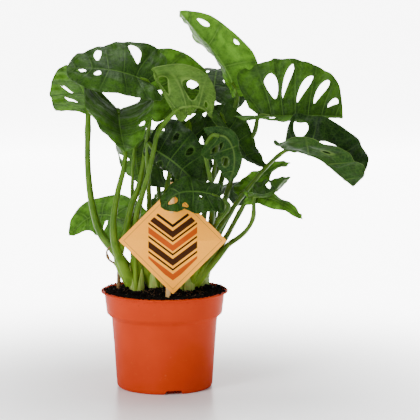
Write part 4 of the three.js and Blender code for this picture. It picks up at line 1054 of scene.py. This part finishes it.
def stalk_mesh(leaf, settings):
    """Return a stalk's points, faces and shading values.

    The radius falls towards the blade with the square of the way that is left, and a bell curve swells
    it at the knee. Lower down, bell curves of the angle raise two ridges beside a channel. sheet holds
    the sine of the angle, the way from the foot and the height.
    """
    path, end_up = stalk_path(leaf)
    length = even_curve(path, LENGTH_STEPS)[2]
    count = max(12, int(length * MM / settings.stalk_step))
    centres, tangents, _ = even_curve(path, count)
    share = np.linspace(0, 1, count)
    foot = np.array([*FEET[leaf.stem][0], 0])
    outward = unit((centres[count // 3] - foot) * [1, 1, 0])
    reference = -outward * (1 - share)[:, None] + end_up * share[:, None]
    root, tip = leaf.radius[0], leaf.radius[1] * STALK_TIP_SHARE
    radius = tip + (root - tip) * (1 - share) ** STALK_TAPER_POWER
    from_knee = (1 - share) * length - KNEE_PLACE
    radius = radius * (1 + KNEE_SWELL * np.exp(-((from_knee / KNEE_HALF) ** 2)))
    angle = np.linspace(-np.pi, np.pi, settings.stalk_sides, endpoint=False) + np.pi
    off_top = np.abs((angle + np.pi) % (2 * np.pi) - np.pi)
    form = sum(
        height * np.exp(-(((off_top - middle) / half) ** 2)) for height, middle, half in (RIDGES, CHANNEL)
    )
    radii = radius[:, None] * (1 + np.clip(1 - share / RIDGED_SHARE, 0, 1)[:, None] ** 0.5 * form)
    points, faces = tube(centres, tangents, reference, radii, settings.stalk_sides)
    around = np.concatenate([np.tile(np.sin(angle), count), [0, 0]])
    along = np.concatenate([np.repeat(share * length, settings.stalk_sides), [0, length]])
    return points, faces, {
        "sheet": np.stack([around + leaf.midrib[0][0], along, points[:, 2]], axis=1),
        "tone": np.full(len(points), STALK_TONES[foot[0] < 0]),
    }


def foot_mesh(x, y, radius):
    """Return the points, faces and shading values of a stem's foot.

    It is an upright tube. Its radius follows a table by height, and a cosine of the angle cuts flutes
    into it that are deeper further up.
    """
    heights = np.concatenate([
        np.linspace(FOOT_BOTTOM, FOOT_SHOULDER, 8), np.linspace(FOOT_SHOULDER + 1.5, FOOT_TOP, 14)
    ])
    count = len(heights)
    centres = np.stack([np.full(count, x), np.full(count, y), heights], axis=1)
    angle = np.linspace(0, 2 * np.pi, FOOT_SIDES, endpoint=False)
    flute = np.interp(heights, FLUTE_HEIGHTS, FLUTE_DEPTHS)[:, None]
    shape = np.interp(heights, FOOT_STATIONS, FOOT_SHARES)[:, None]
    radii = radius * shape * (1 - flute * (0.5 - 0.5 * np.cos(FLUTES * angle)))
    points, faces = tube(centres, np.tile(UP, (count, 1)), RIGHT, radii, FOOT_SIDES)
    around = np.concatenate([np.tile(angle, count), [0, 0]])
    return points, faces, {
        "sheet": np.stack([around, points[:, 2], points[:, 2]], axis=1),
        "tone": np.full(len(points), FOOT_TONE),
    }


def sheath_mesh(x, y, radius, start, rise):
    """Return the points, faces and sheet values of a papery sheath that clasps a foot.

    With t going up and u across from -1 to 1, the sheet reaches round the foot by u times a power of
    1 - t to the power 1.6, and stands off it by 1 - u squared and by t.
    """
    t, u = np.meshgrid(np.linspace(0, 1, 20), np.linspace(-1, 1, 17), indexing="ij")
    turn = start + u * (SHEATH_REACH * (1 - t**1.6) ** 0.7 + 0.02)
    height = SHEATH_BOTTOM + rise * t
    spread = radius * np.interp(height, FOOT_STATIONS, FOOT_SHARES) * 0.97 + 0.5 * (1 - u**2) + 0.5 * t
    outer = np.stack([x + spread * np.cos(turn), y + spread * np.sin(turn), height], axis=-1)
    outer = outer.reshape(-1, 3)
    inner = outer - unit((outer - [x, y, 0]) * [1, 1, 0]) * SHEATH_THICKNESS
    ids = np.arange(t.size).reshape(t.shape)
    points, faces = closed_sheet(outer, inner, split_faces(between_rows(ids, False)))
    sheet = np.stack([turn.ravel(), height.ravel(), height.ravel()], axis=1)
    return points, faces, np.tile(sheet, (2, 1))


def pot_mesh(settings):
    """Return the pot's points and faces.

    Its section is turned about the Z axis. Where the arc length from the middle of a notch is small,
    the outer part of the foot is lifted to the notch's height, with steep sides.
    """
    points, faces = lathe(POT_PROFILE, settings.segments)
    x, y, z = points.T
    radius = np.hypot(x, y)
    period = 360 / settings.notches
    off = (np.degrees(np.arctan2(y, x)) - NOTCH_FIRST_ANGLE + period / 2) % period - period / 2
    width = np.radians(off) * radius
    notch = np.interp(width, NOTCH_STATIONS, [0, 1, 1, 0])
    height = settings.notch_height / MM
    is_outer = (radius > NOTCH_REACH) & (z < height) & (z < POT_FLOOR + 3)
    points[:, 2] = np.where(is_outer, np.maximum(z, notch * height), z)
    return points, faces


def soil_height(x, y):
    """Return the height of the soil in mm.

    It is a dome that falls with the distance squared, with long and short lumps that are products and
    sums of sines, and two bell-shaped mounds.
    """
    share = np.hypot(x, y) / (LIP_RADIUS - 3)
    lump = np.sin(0.31 * x + 1.7) * np.cos(0.27 * y + 0.4) + 0.6 * np.sin(0.19 * (x - y))
    fine = np.sin(1.1 * x + 0.7 * y) * np.cos(0.9 * y - 0.6 * x) + 0.7 * np.sin(2.3 * x - 1.9 * y + 1)
    height = SOIL_HEIGHT + SOIL_DOME * (1 - share**2) + 1.1 * lump + 0.45 * fine
    for rise, middle_x, middle_y, half_x, half_y in SOIL_MOUNDS:
        height = height + rise * np.exp(-(((x - middle_x) / half_x) ** 2 + ((y - middle_y) / half_y) ** 2))
    return height


def soil_mesh(draw):
    """Return the points and faces of the soil: a turned plug whose top has the soil's height and grit."""
    profile = [[0, SOIL_BOTTOM], [SOIL_EDGE - 3, SOIL_BOTTOM], [SOIL_EDGE - 0.6, SOIL_HEIGHT - 2]]
    profile += [[SOIL_EDGE * share, SOIL_HEIGHT] for share in np.linspace(1, 0, 60)[:-1]]
    points, faces = lathe([*profile, [0, SOIL_HEIGHT]], 150)
    is_top = points[:, 2] > SOIL_HEIGHT - 1
    grit = draw.normal(0, GRIT_HEIGHT, is_top.sum())
    points[is_top, 2] = soil_height(points[is_top, 0], points[is_top, 1]) + grit
    return points, faces


def crumbs_mesh(count, draw):
    """Return the points and faces of loose crumbs.

    Each is a twenty-faced ball, jittered, stretched and turned at random, on the soil or on the lip.
    The square of a uniform draw makes small ones common.
    """
    ball_points, ball_faces = ICOSAHEDRON
    spread = SOIL_EDGE * np.sqrt(draw.uniform(0, 1.13, count))
    turn = draw.uniform(0, 2 * np.pi, count)
    x, y = spread * np.cos(turn), spread * np.sin(turn)
    size = draw.uniform(0.35, 1.0, count) ** 2 * 2.1 + 0.35
    size = np.where(spread > SOIL_EDGE - 1, np.minimum(size, 1.1), size)
    on_lip = np.clip((spread - SOIL_EDGE) / 1.5, 0, 1)
    z = soil_height(x, y) * (1 - on_lip) + (POT_HEIGHT + 0.1) * on_lip + size * 0.25
    axes = np.linalg.qr(draw.normal(size=(count, 3, 3)))[0] * draw.uniform(0.6, 1.15, (count, 1, 3))
    jitter = draw.uniform(0.75, 1.2, (count, len(ball_points), 1))
    shape = (ball_points[None] * jitter) @ axes * size[:, None, None]
    points = (np.stack([x, y, z], axis=1)[:, None] + shape).reshape(-1, 3)
    return points, (ball_faces[None] + np.arange(count)[:, None, None] * len(ball_points)).reshape(-1, 3)


def fibre_mesh(draw):
    """Return the points and faces of a loose fibre: a thin tube on a parabola that lies on the soil."""
    middle = draw.uniform(-1, 1, 2) * SOIL_EDGE * 0.68
    turn = draw.uniform(0, 2 * np.pi)
    length = draw.uniform(4, 13)
    bend = draw.uniform(-5, 5)
    t = np.linspace(-0.5, 0.5, 9)
    x = middle[0] + length * t * np.cos(turn) - bend * t**2 * np.sin(turn)
    y = middle[1] + length * t * np.sin(turn) + bend * t**2 * np.cos(turn)
    z = soil_height(x, y) + 0.7 + draw.uniform(0, 2.0) * (0.5 + t)
    centres = np.stack([x, y, z], axis=1)
    radii = np.interp(t, [-0.5, 0, 0.5], [0.1, 0.24, 0.08])[:, None]
    return tube(centres, unit(np.gradient(centres, axis=0)), UP, radii, 5)


def card_mesh(reach, thick):
    """Return the card's points and faces, and which of its faces are printed.

    The card is a square on its corner, reach mm from middle to corner, and quadratic curves round its
    corners. Four outlines, the outer two a little smaller, make its bevelled edge between two caps.
    """
    corners = np.array([[reach, 0], [0, reach], [-reach, 0], [0, -reach]])
    neighbours = (np.roll(corners, shift, axis=0) for shift in (1, -1))
    start, end = ((corners + unit(other - corners) * CARD_ROUNDING)[:, None] for other in neighbours)
    t = np.linspace(0, 1, 9)[None, :, None]
    outline = start * (1 - t) ** 2 + corners[:, None] * 2 * t * (1 - t) + end * t**2
    outline = outline.reshape(-1, 2)
    count = len(outline)
    step = unit(np.roll(outline, -1, axis=0) - np.roll(outline, 1, axis=0))
    inward = np.stack([-step[:, 1], step[:, 0]], axis=1)
    rings = [
        (outline + inward * inset, depth * thick)
        for inset, depth in ((CARD_BEVEL, -0.5), (0, -0.25), (0, 0.25), (CARD_BEVEL, 0.5))
    ]
    flat = np.concatenate([
        np.stack([ring[:, 0], np.full(count, depth), ring[:, 1]], axis=1) for ring, depth in rings
    ])
    edge = split_faces(between_rows(np.arange(4 * count).reshape(4, count), True)[:, TURNED])
    cap = np.array(tessellate_polygon([[Vector((*point, 0)) for point in rings[0][0]]]))
    a, b, c = (rings[0][0][cap[:, k]] for k in range(3))
    cap = np.where(np.cross(b - a, c - a)[:, None] < 0, cap[:, ::-1], cap)
    faces = np.concatenate([edge, cap, cap[:, ::-1] + 3 * count])
    lean = np.radians(CARD_LEAN)
    points = np.stack([
        flat[:, 0], flat[:, 1] * np.cos(lean) + flat[:, 2] * np.sin(lean),
        flat[:, 2] * np.cos(lean) - flat[:, 1] * np.sin(lean),
    ], axis=1) + CARD_CENTRE
    is_printed = np.repeat([0, 1, 0], [len(edge), len(cap), len(cap)])
    return points, faces, is_printed


def stick_mesh():
    """Return the points and faces of the stick: a tube whose section is a superellipse."""
    centres, tangents, _ = even_curve(STICK_PATH, 40)
    angle = np.linspace(0, 2 * np.pi, 32, endpoint=False)
    radii = (
        np.abs(np.cos(angle) / STICK_HALF_WIDTH) ** STICK_SQUARENESS
        + np.abs(np.sin(angle) / STICK_HALF_DEPTH) ** STICK_SQUARENESS
    ) ** (-1 / STICK_SQUARENESS)
    return tube(centres, tangents, RIGHT, radii, 32)


def stub_mesh(draw):
    """Return the points and faces of the dry stub: a tapering tube with turning ribs and noise."""
    centres, tangents, _ = even_curve(DRY_STUB_PATH, 40)
    share = np.linspace(0, 1, 40)[:, None]
    angle = np.linspace(0, 2 * np.pi, 20, endpoint=False)[None]
    bark = 1 + 0.06 * np.sin(5 * angle + 3 * share) + draw.normal(0, 0.02, (40, 20))
    radii = (DRY_STUB_RADIUS - 0.8 * share**0.8) * bark
    return tube(centres, tangents, BACK, radii, 20)


def twig_mesh():
    """Return the points and faces of the dry twig: a tapering tube that a bell curve thickens once."""
    centres, tangents, _ = even_curve(DRY_TWIG_PATH, 50)
    share = np.linspace(0, 1, 50)[:, None]
    radii = 1.2 - 0.5 * share + 0.6 * np.exp(-(((share - 0.62) / 0.08) ** 2))
    return tube(centres, tangents, BACK, radii, 12)


def floor_mesh():
    """Return the floor's points and faces: a sheet that a quarter circle bends up behind the object."""
    bend = np.radians(np.linspace(0, 90, 16))
    wall = FLOOR_BACK + FLOOR_BEND
    y = np.concatenate([[FLOOR_FRONT], FLOOR_BACK + FLOOR_BEND * np.sin(bend), [wall]]) / MM
    z = np.concatenate([[0.0], FLOOR_BEND * (1 - np.cos(bend)), [FLOOR_TOP]]) / MM
    grid_x, grid_y = np.meshgrid(np.array([-FLOOR_HALF_WIDTH, FLOOR_HALF_WIDTH]) / MM, y, indexing="ij")
    points = np.stack([grid_x, grid_y, np.tile(z, (2, 1))], axis=-1).reshape(-1, 3)
    ids = np.arange(len(points)).reshape(2, -1)
    return points, between_rows(ids, False)[:, TURNED]


def world_and_lights():
    """Light the scene with a pale sky and three large soft panels. Return the lights."""
    world = bpy.data.worlds.new("pale_studio")
    bpy.context.scene.world = world
    world.use_nodes = True
    background = world.node_tree.nodes["Background"]
    background.inputs["Color"].default_value = (1, 1, 1, 1)
    background.inputs["Strength"].default_value = SKY_STRENGTH
    lights = []
    for name, place, aim, size, power in SOFTBOXES:
        data = bpy.data.lights.new(name, "AREA")
        data.shape = "RECTANGLE"
        data.size, data.size_y = size
        data.energy = power
        light = bpy.data.objects.new(name, data)
        light.location = place
        light.rotation_euler = (Vector(aim) - Vector(place)).to_track_quat("-Z", "Y").to_euler()
        bpy.context.scene.collection.objects.link(light)
        lights.append(light)
    return lights


def length_property(name, description, default):
    """Return a setting for a small length in metres."""
    return FloatProperty(name=name, description=description, default=default, unit="LENGTH", precision=5)


def colour_property(name, description, hex_colour):
    """Return a colour setting whose default is an sRGB hex colour."""
    return FloatVectorProperty(
        name=name, description=description, default=srgb(hex_colour), size=4, min=0, max=1, subtype="COLOR"
    )


class LeafSettings(PropertyGroup):
    """How the leaf blades and their stalks are made."""

    detail: IntProperty(name="Detail", description="Grid steps between a blade's nodes", default=8, min=2)
    thickness: length_property("Thickness", "Thickness of a blade between its veins", 0.0005)
    quilt_height: FloatProperty(
        name="Quilt height (mm)", description="How far a blade bulges between two side veins", default=0.5
    )
    groove_depth: FloatProperty(
        name="Groove depth (mm)", description="How deep the side veins lie in the upper face", default=0.22
    )
    rib_height: FloatProperty(
        name="Rib height (mm)", description="How far the veins stand out underneath", default=0.45
    )
    lip_height: FloatProperty(
        name="Lip height (mm)", description="How far the margin and the rims of the holes rise", default=0.5
    )
    roll_height: FloatProperty(
        name="Roll height (mm)", description="Height of the long uneven waves of a blade", default=0.75
    )
    # The dark and bright greens are the two ends of a leaf's tone, which stands for its age and also for
    # painted light and shade
    dark: colour_property("Dark green", "Upper face of an old leaf", "#051c05")
    bright: colour_property("Bright green", "Upper face of a young leaf", "#5a8c22")
    veins: colour_property("Vein green", "Veins and margin of the upper face", "#76a440")
    stalk_sides: IntProperty(name="Stalk sides", description="Sides of its section", default=20, min=8)
    stalk_step: length_property("Stalk step", "Length of one step along a stalk", 0.0025)


class PotSettings(PropertyGroup):
    """How the pot is made."""

    segments: IntProperty(name="Segments", description="Steps around the pot", default=240, min=24)
    notches: IntProperty(name="Drain notches", description="Openings cut into the foot", default=3, min=1)
    notch_height: length_property("Notch height", "Height of a drain notch", 0.004)
    colour: colour_property("Colour", "Colour of the plastic", "#ba3814")


class SoilSettings(PropertyGroup):
    """How the soil is made."""

    seed: IntProperty(name="Seed", description="Number that all random draws start from", default=11)
    crumbs: IntProperty(name="Crumbs", description="Number of loose crumbs", default=1500, min=1)
    fibres: IntProperty(name="Fibres", description="Number of loose fibres", default=150, min=1)


class LabelSettings(PropertyGroup):
    """How the label is made."""

    side: length_property("Side", "Side of the square card", 0.0706)
    thickness: length_property("Thickness", "Thickness of the card", 0.0008)
    colour: colour_property("Colour", "Colour of the card", "#fea622")


class StageSettings(PropertyGroup):
    """Where the camera stands and how it looks."""

    camera_place: FloatVectorProperty(
        name="Camera", description="Where the camera stands", default=(0.043, -2.0, 0.44), subtype="XYZ",
        unit="LENGTH",
    )
    camera_pitch: FloatProperty(
        name="Pitch", description="How far the camera looks down", default=float(np.radians(7.75)),
        subtype="ANGLE",
    )
    camera_lens: FloatProperty(name="Lens (mm)", description="Focal length of the camera", default=184.03)


class MONSTERA_OT_add_leaves(Operator):
    """Add the leaf blades"""

    bl_idname = "monstera.add_leaves"
    bl_label = "Add leaf blades"

    def execute(self, context):
        settings = context.scene.monstera_leaves
        colours = (tuple(colour) for colour in (settings.dark, settings.bright, settings.veins))
        upper = leaf_finish("glossy_leaf_face", *colours, gloss=0.4, depth=0.5, rim=0.2, soft=0.03)
        colours = (srgb(colour) for colour in ("#123008", "#668c30", "#84a24c"))
        under = leaf_finish("dull_leaf_underside", *colours, gloss=0.5, depth=0.3, rim=0.4, soft=0.05)
        for seed, leaf in enumerate(LEAVES):
            points, faces, values, is_under = blade_mesh(leaf, settings, seed)
            values["tone"] = np.full(len(points), leaf.tone)
            add_piece(
                "leaf_" + leaf.name, points, faces, [upper, under], [leaf.stem], "foliage", values,
                material_index=is_under, sharp=50,
            )
        return {"FINISHED"}


class MONSTERA_OT_add_stalks(Operator):
    """Add the leaf stalks"""

    bl_idname = "monstera.add_stalks"
    bl_label = "Add stalks"

    def execute(self, context):
        skin = stalk_finish()
        for leaf in LEAVES:
            points, faces, values = stalk_mesh(leaf, context.scene.monstera_leaves)
            add_piece("stalk_" + leaf.name, points, faces, [skin], [leaf.stem], "foliage", values)
        return {"FINISHED"}


class MONSTERA_OT_add_feet(Operator):
    """Add the sheathed feet of the stems"""

    bl_idname = "monstera.add_feet"
    bl_label = "Add stem feet"

    def execute(self, context):
        skin, paper = stalk_finish(), sheath_finish()
        draw = np.random.default_rng(FEET_SEED)
        for stem, ((x, y), radius) in FEET.items():
            points, faces, values = foot_mesh(x, y, radius)
            add_piece("foot_of_" + stem, points, faces, [skin], [stem], "foliage", values)
            sheaths = [
                sheath_mesh(x, y, radius, start, draw.uniform(*SHEATH_RISES))
                for start in np.arange(SHEATHS) * SHEATH_APART + draw.uniform(0, 2)
            ]
            points, faces = join(*(sheath[:2] for sheath in sheaths))
            values = {"sheet": np.concatenate([sheath[2] for sheath in sheaths])}
            add_piece("sheaths_of_" + stem, points, faces, [paper], [stem], "foliage", values)
        return {"FINISHED"}


class MONSTERA_OT_add_pot(Operator):
    """Add the nursery pot"""

    bl_idname = "monstera.add_pot"
    bl_label = "Add pot"

    def execute(self, context):
        settings = context.scene.monstera_pot
        plastic = plastic_finish(tuple(settings.colour))
        add_piece("nursery_pot", *pot_mesh(settings), [plastic], ["pot"], "pot_plastic", sharp=32)
        return {"FINISHED"}


class MONSTERA_OT_add_soil(Operator):
    """Add the soil with its crumbs and fibres"""

    bl_idname = "monstera.add_soil"
    bl_label = "Add soil"

    def execute(self, context):
        settings = context.scene.monstera_soil
        draw = np.random.default_rng(settings.seed)
        peat = peat_finish()
        add_piece("soil_surface", *soil_mesh(draw), [peat], ["soil"], "soil", sharp=60)
        add_piece("soil_crumbs", *crumbs_mesh(settings.crumbs, draw), [peat], ["soil"], "soil", sharp=25)
        fibre = fibre_finish("peat_fibre", "#3b2718", "#7a5a3a", 2.0)
        points, faces = join(*(fibre_mesh(draw) for _ in range(settings.fibres)))
        add_piece("soil_fibres", points, faces, [fibre], ["soil"], "soil")
        return {"FINISHED"}


class MONSTERA_OT_add_label(Operator):
    """Add the label card and its stick"""

    bl_idname = "monstera.add_label"
    bl_label = "Add label"

    def execute(self, context):
        settings = context.scene.monstera_label
        reach = float(settings.side / MM / np.sqrt(2))
        points, faces, is_printed = card_mesh(reach, settings.thickness / MM)
        cards = [card_finish(tuple(settings.colour), reach, has_print) for has_print in (False, True)]
        add_piece(
            "label_card", points, faces, cards, ["label"], "label_card", material_index=is_printed, sharp=60
        )
        wood = fibre_finish("birch_stick_wood", "#c89048", "#e2b878", 3.0)
        add_piece("label_stick", *stick_mesh(), [wood], ["label"], "label_card")
        return {"FINISHED"}


class MONSTERA_OT_add_dry_stub(Operator):
    """Add the dry stub and a dry twig beside it"""

    bl_idname = "monstera.add_dry_stub"
    bl_label = "Add dry stub"

    def execute(self, context):
        bark = fibre_finish("dry_stem_bark", "#4a3018", "#8a6a3c", 2.4)
        draw = np.random.default_rng(STUB_SEED)
        add_piece("dry_stem_stub", *stub_mesh(draw), [bark], ["dry_stub"], "dry_stalk")
        add_piece("dry_twig", *twig_mesh(), [bark], ["dry_stub"], "dry_stalk")
        return {"FINISHED"}


class MONSTERA_OT_add_stage(Operator):
    """Add the floor, lights and camera"""

    bl_idname = "monstera.add_stage"
    bl_label = "Add stage"

    def execute(self, context):
        settings = context.scene.monstera_stage
        points, faces = floor_mesh()
        mesh = bpy.data.meshes.new("floor")
        mesh.from_pydata((points * MM).tolist(), [], faces.tolist())
        mesh.polygons.foreach_set("use_smooth", np.ones(len(faces), bool))
        mesh.materials.append(floor_finish())
        floor = bpy.data.objects.new("floor", mesh)
        context.scene.collection.objects.link(floor)
        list(world_and_lights())
        data = bpy.data.cameras.new("camera")
        data.lens = settings.camera_lens
        data.sensor_width = SENSOR_WIDTH
        data.clip_end = CLIP_END
        camera = bpy.data.objects.new("camera", data)
        camera.location = settings.camera_place
        camera.rotation_euler = Euler((np.pi / 2 - settings.camera_pitch, 0, 0))
        context.scene.collection.objects.link(camera)
        context.scene.camera = camera
        return {"FINISHED"}


class MONSTERA_PT_sidebar(Panel):
    """The monstera's settings and building steps"""

    bl_idname = "MONSTERA_PT_sidebar"
    bl_label = "Potted monstera"
    bl_space_type = "VIEW_3D"
    bl_region_type = "UI"
    bl_category = "Monstera"

    def draw(self, context):
        for key in SETTINGS:
            group = getattr(context.scene, key)
            box = self.layout.box()
            for name in group.__annotations__:
                box.prop(group, name)
        for operator in OPERATORS:
            self.layout.operator(operator.bl_idname)


SETTINGS = {
    "monstera_leaves": LeafSettings,
    "monstera_pot": PotSettings,
    "monstera_soil": SoilSettings,
    "monstera_label": LabelSettings,
    "monstera_stage": StageSettings,
}
OPERATORS = (
    MONSTERA_OT_add_leaves,
    MONSTERA_OT_add_stalks,
    MONSTERA_OT_add_feet,
    MONSTERA_OT_add_pot,
    MONSTERA_OT_add_soil,
    MONSTERA_OT_add_label,
    MONSTERA_OT_add_dry_stub,
    MONSTERA_OT_add_stage,
)


def register():
    """Register the settings, operators and panel."""
    for kind in (*SETTINGS.values(), *OPERATORS, MONSTERA_PT_sidebar):
        bpy.utils.register_class(kind)
    for key, group in SETTINGS.items():
        setattr(bpy.types.Scene, key, PointerProperty(type=group))


def unregister():
    """Remove what register added."""
    for key in SETTINGS:
        delattr(bpy.types.Scene, key)
    for kind in (MONSTERA_PT_sidebar, *reversed(OPERATORS), *SETTINGS.values()):
        bpy.utils.unregister_class(kind)


def main():
    """Register the settings and build the potted monstera."""
    register()
    bpy.ops.monstera.add_leaves()
    bpy.ops.monstera.add_stalks()
    bpy.ops.monstera.add_feet()
    bpy.ops.monstera.add_pot()
    bpy.ops.monstera.add_soil()
    bpy.ops.monstera.add_label()
    bpy.ops.monstera.add_dry_stub()
    bpy.ops.monstera.add_stage()


if __name__ == "__main__":
    main()
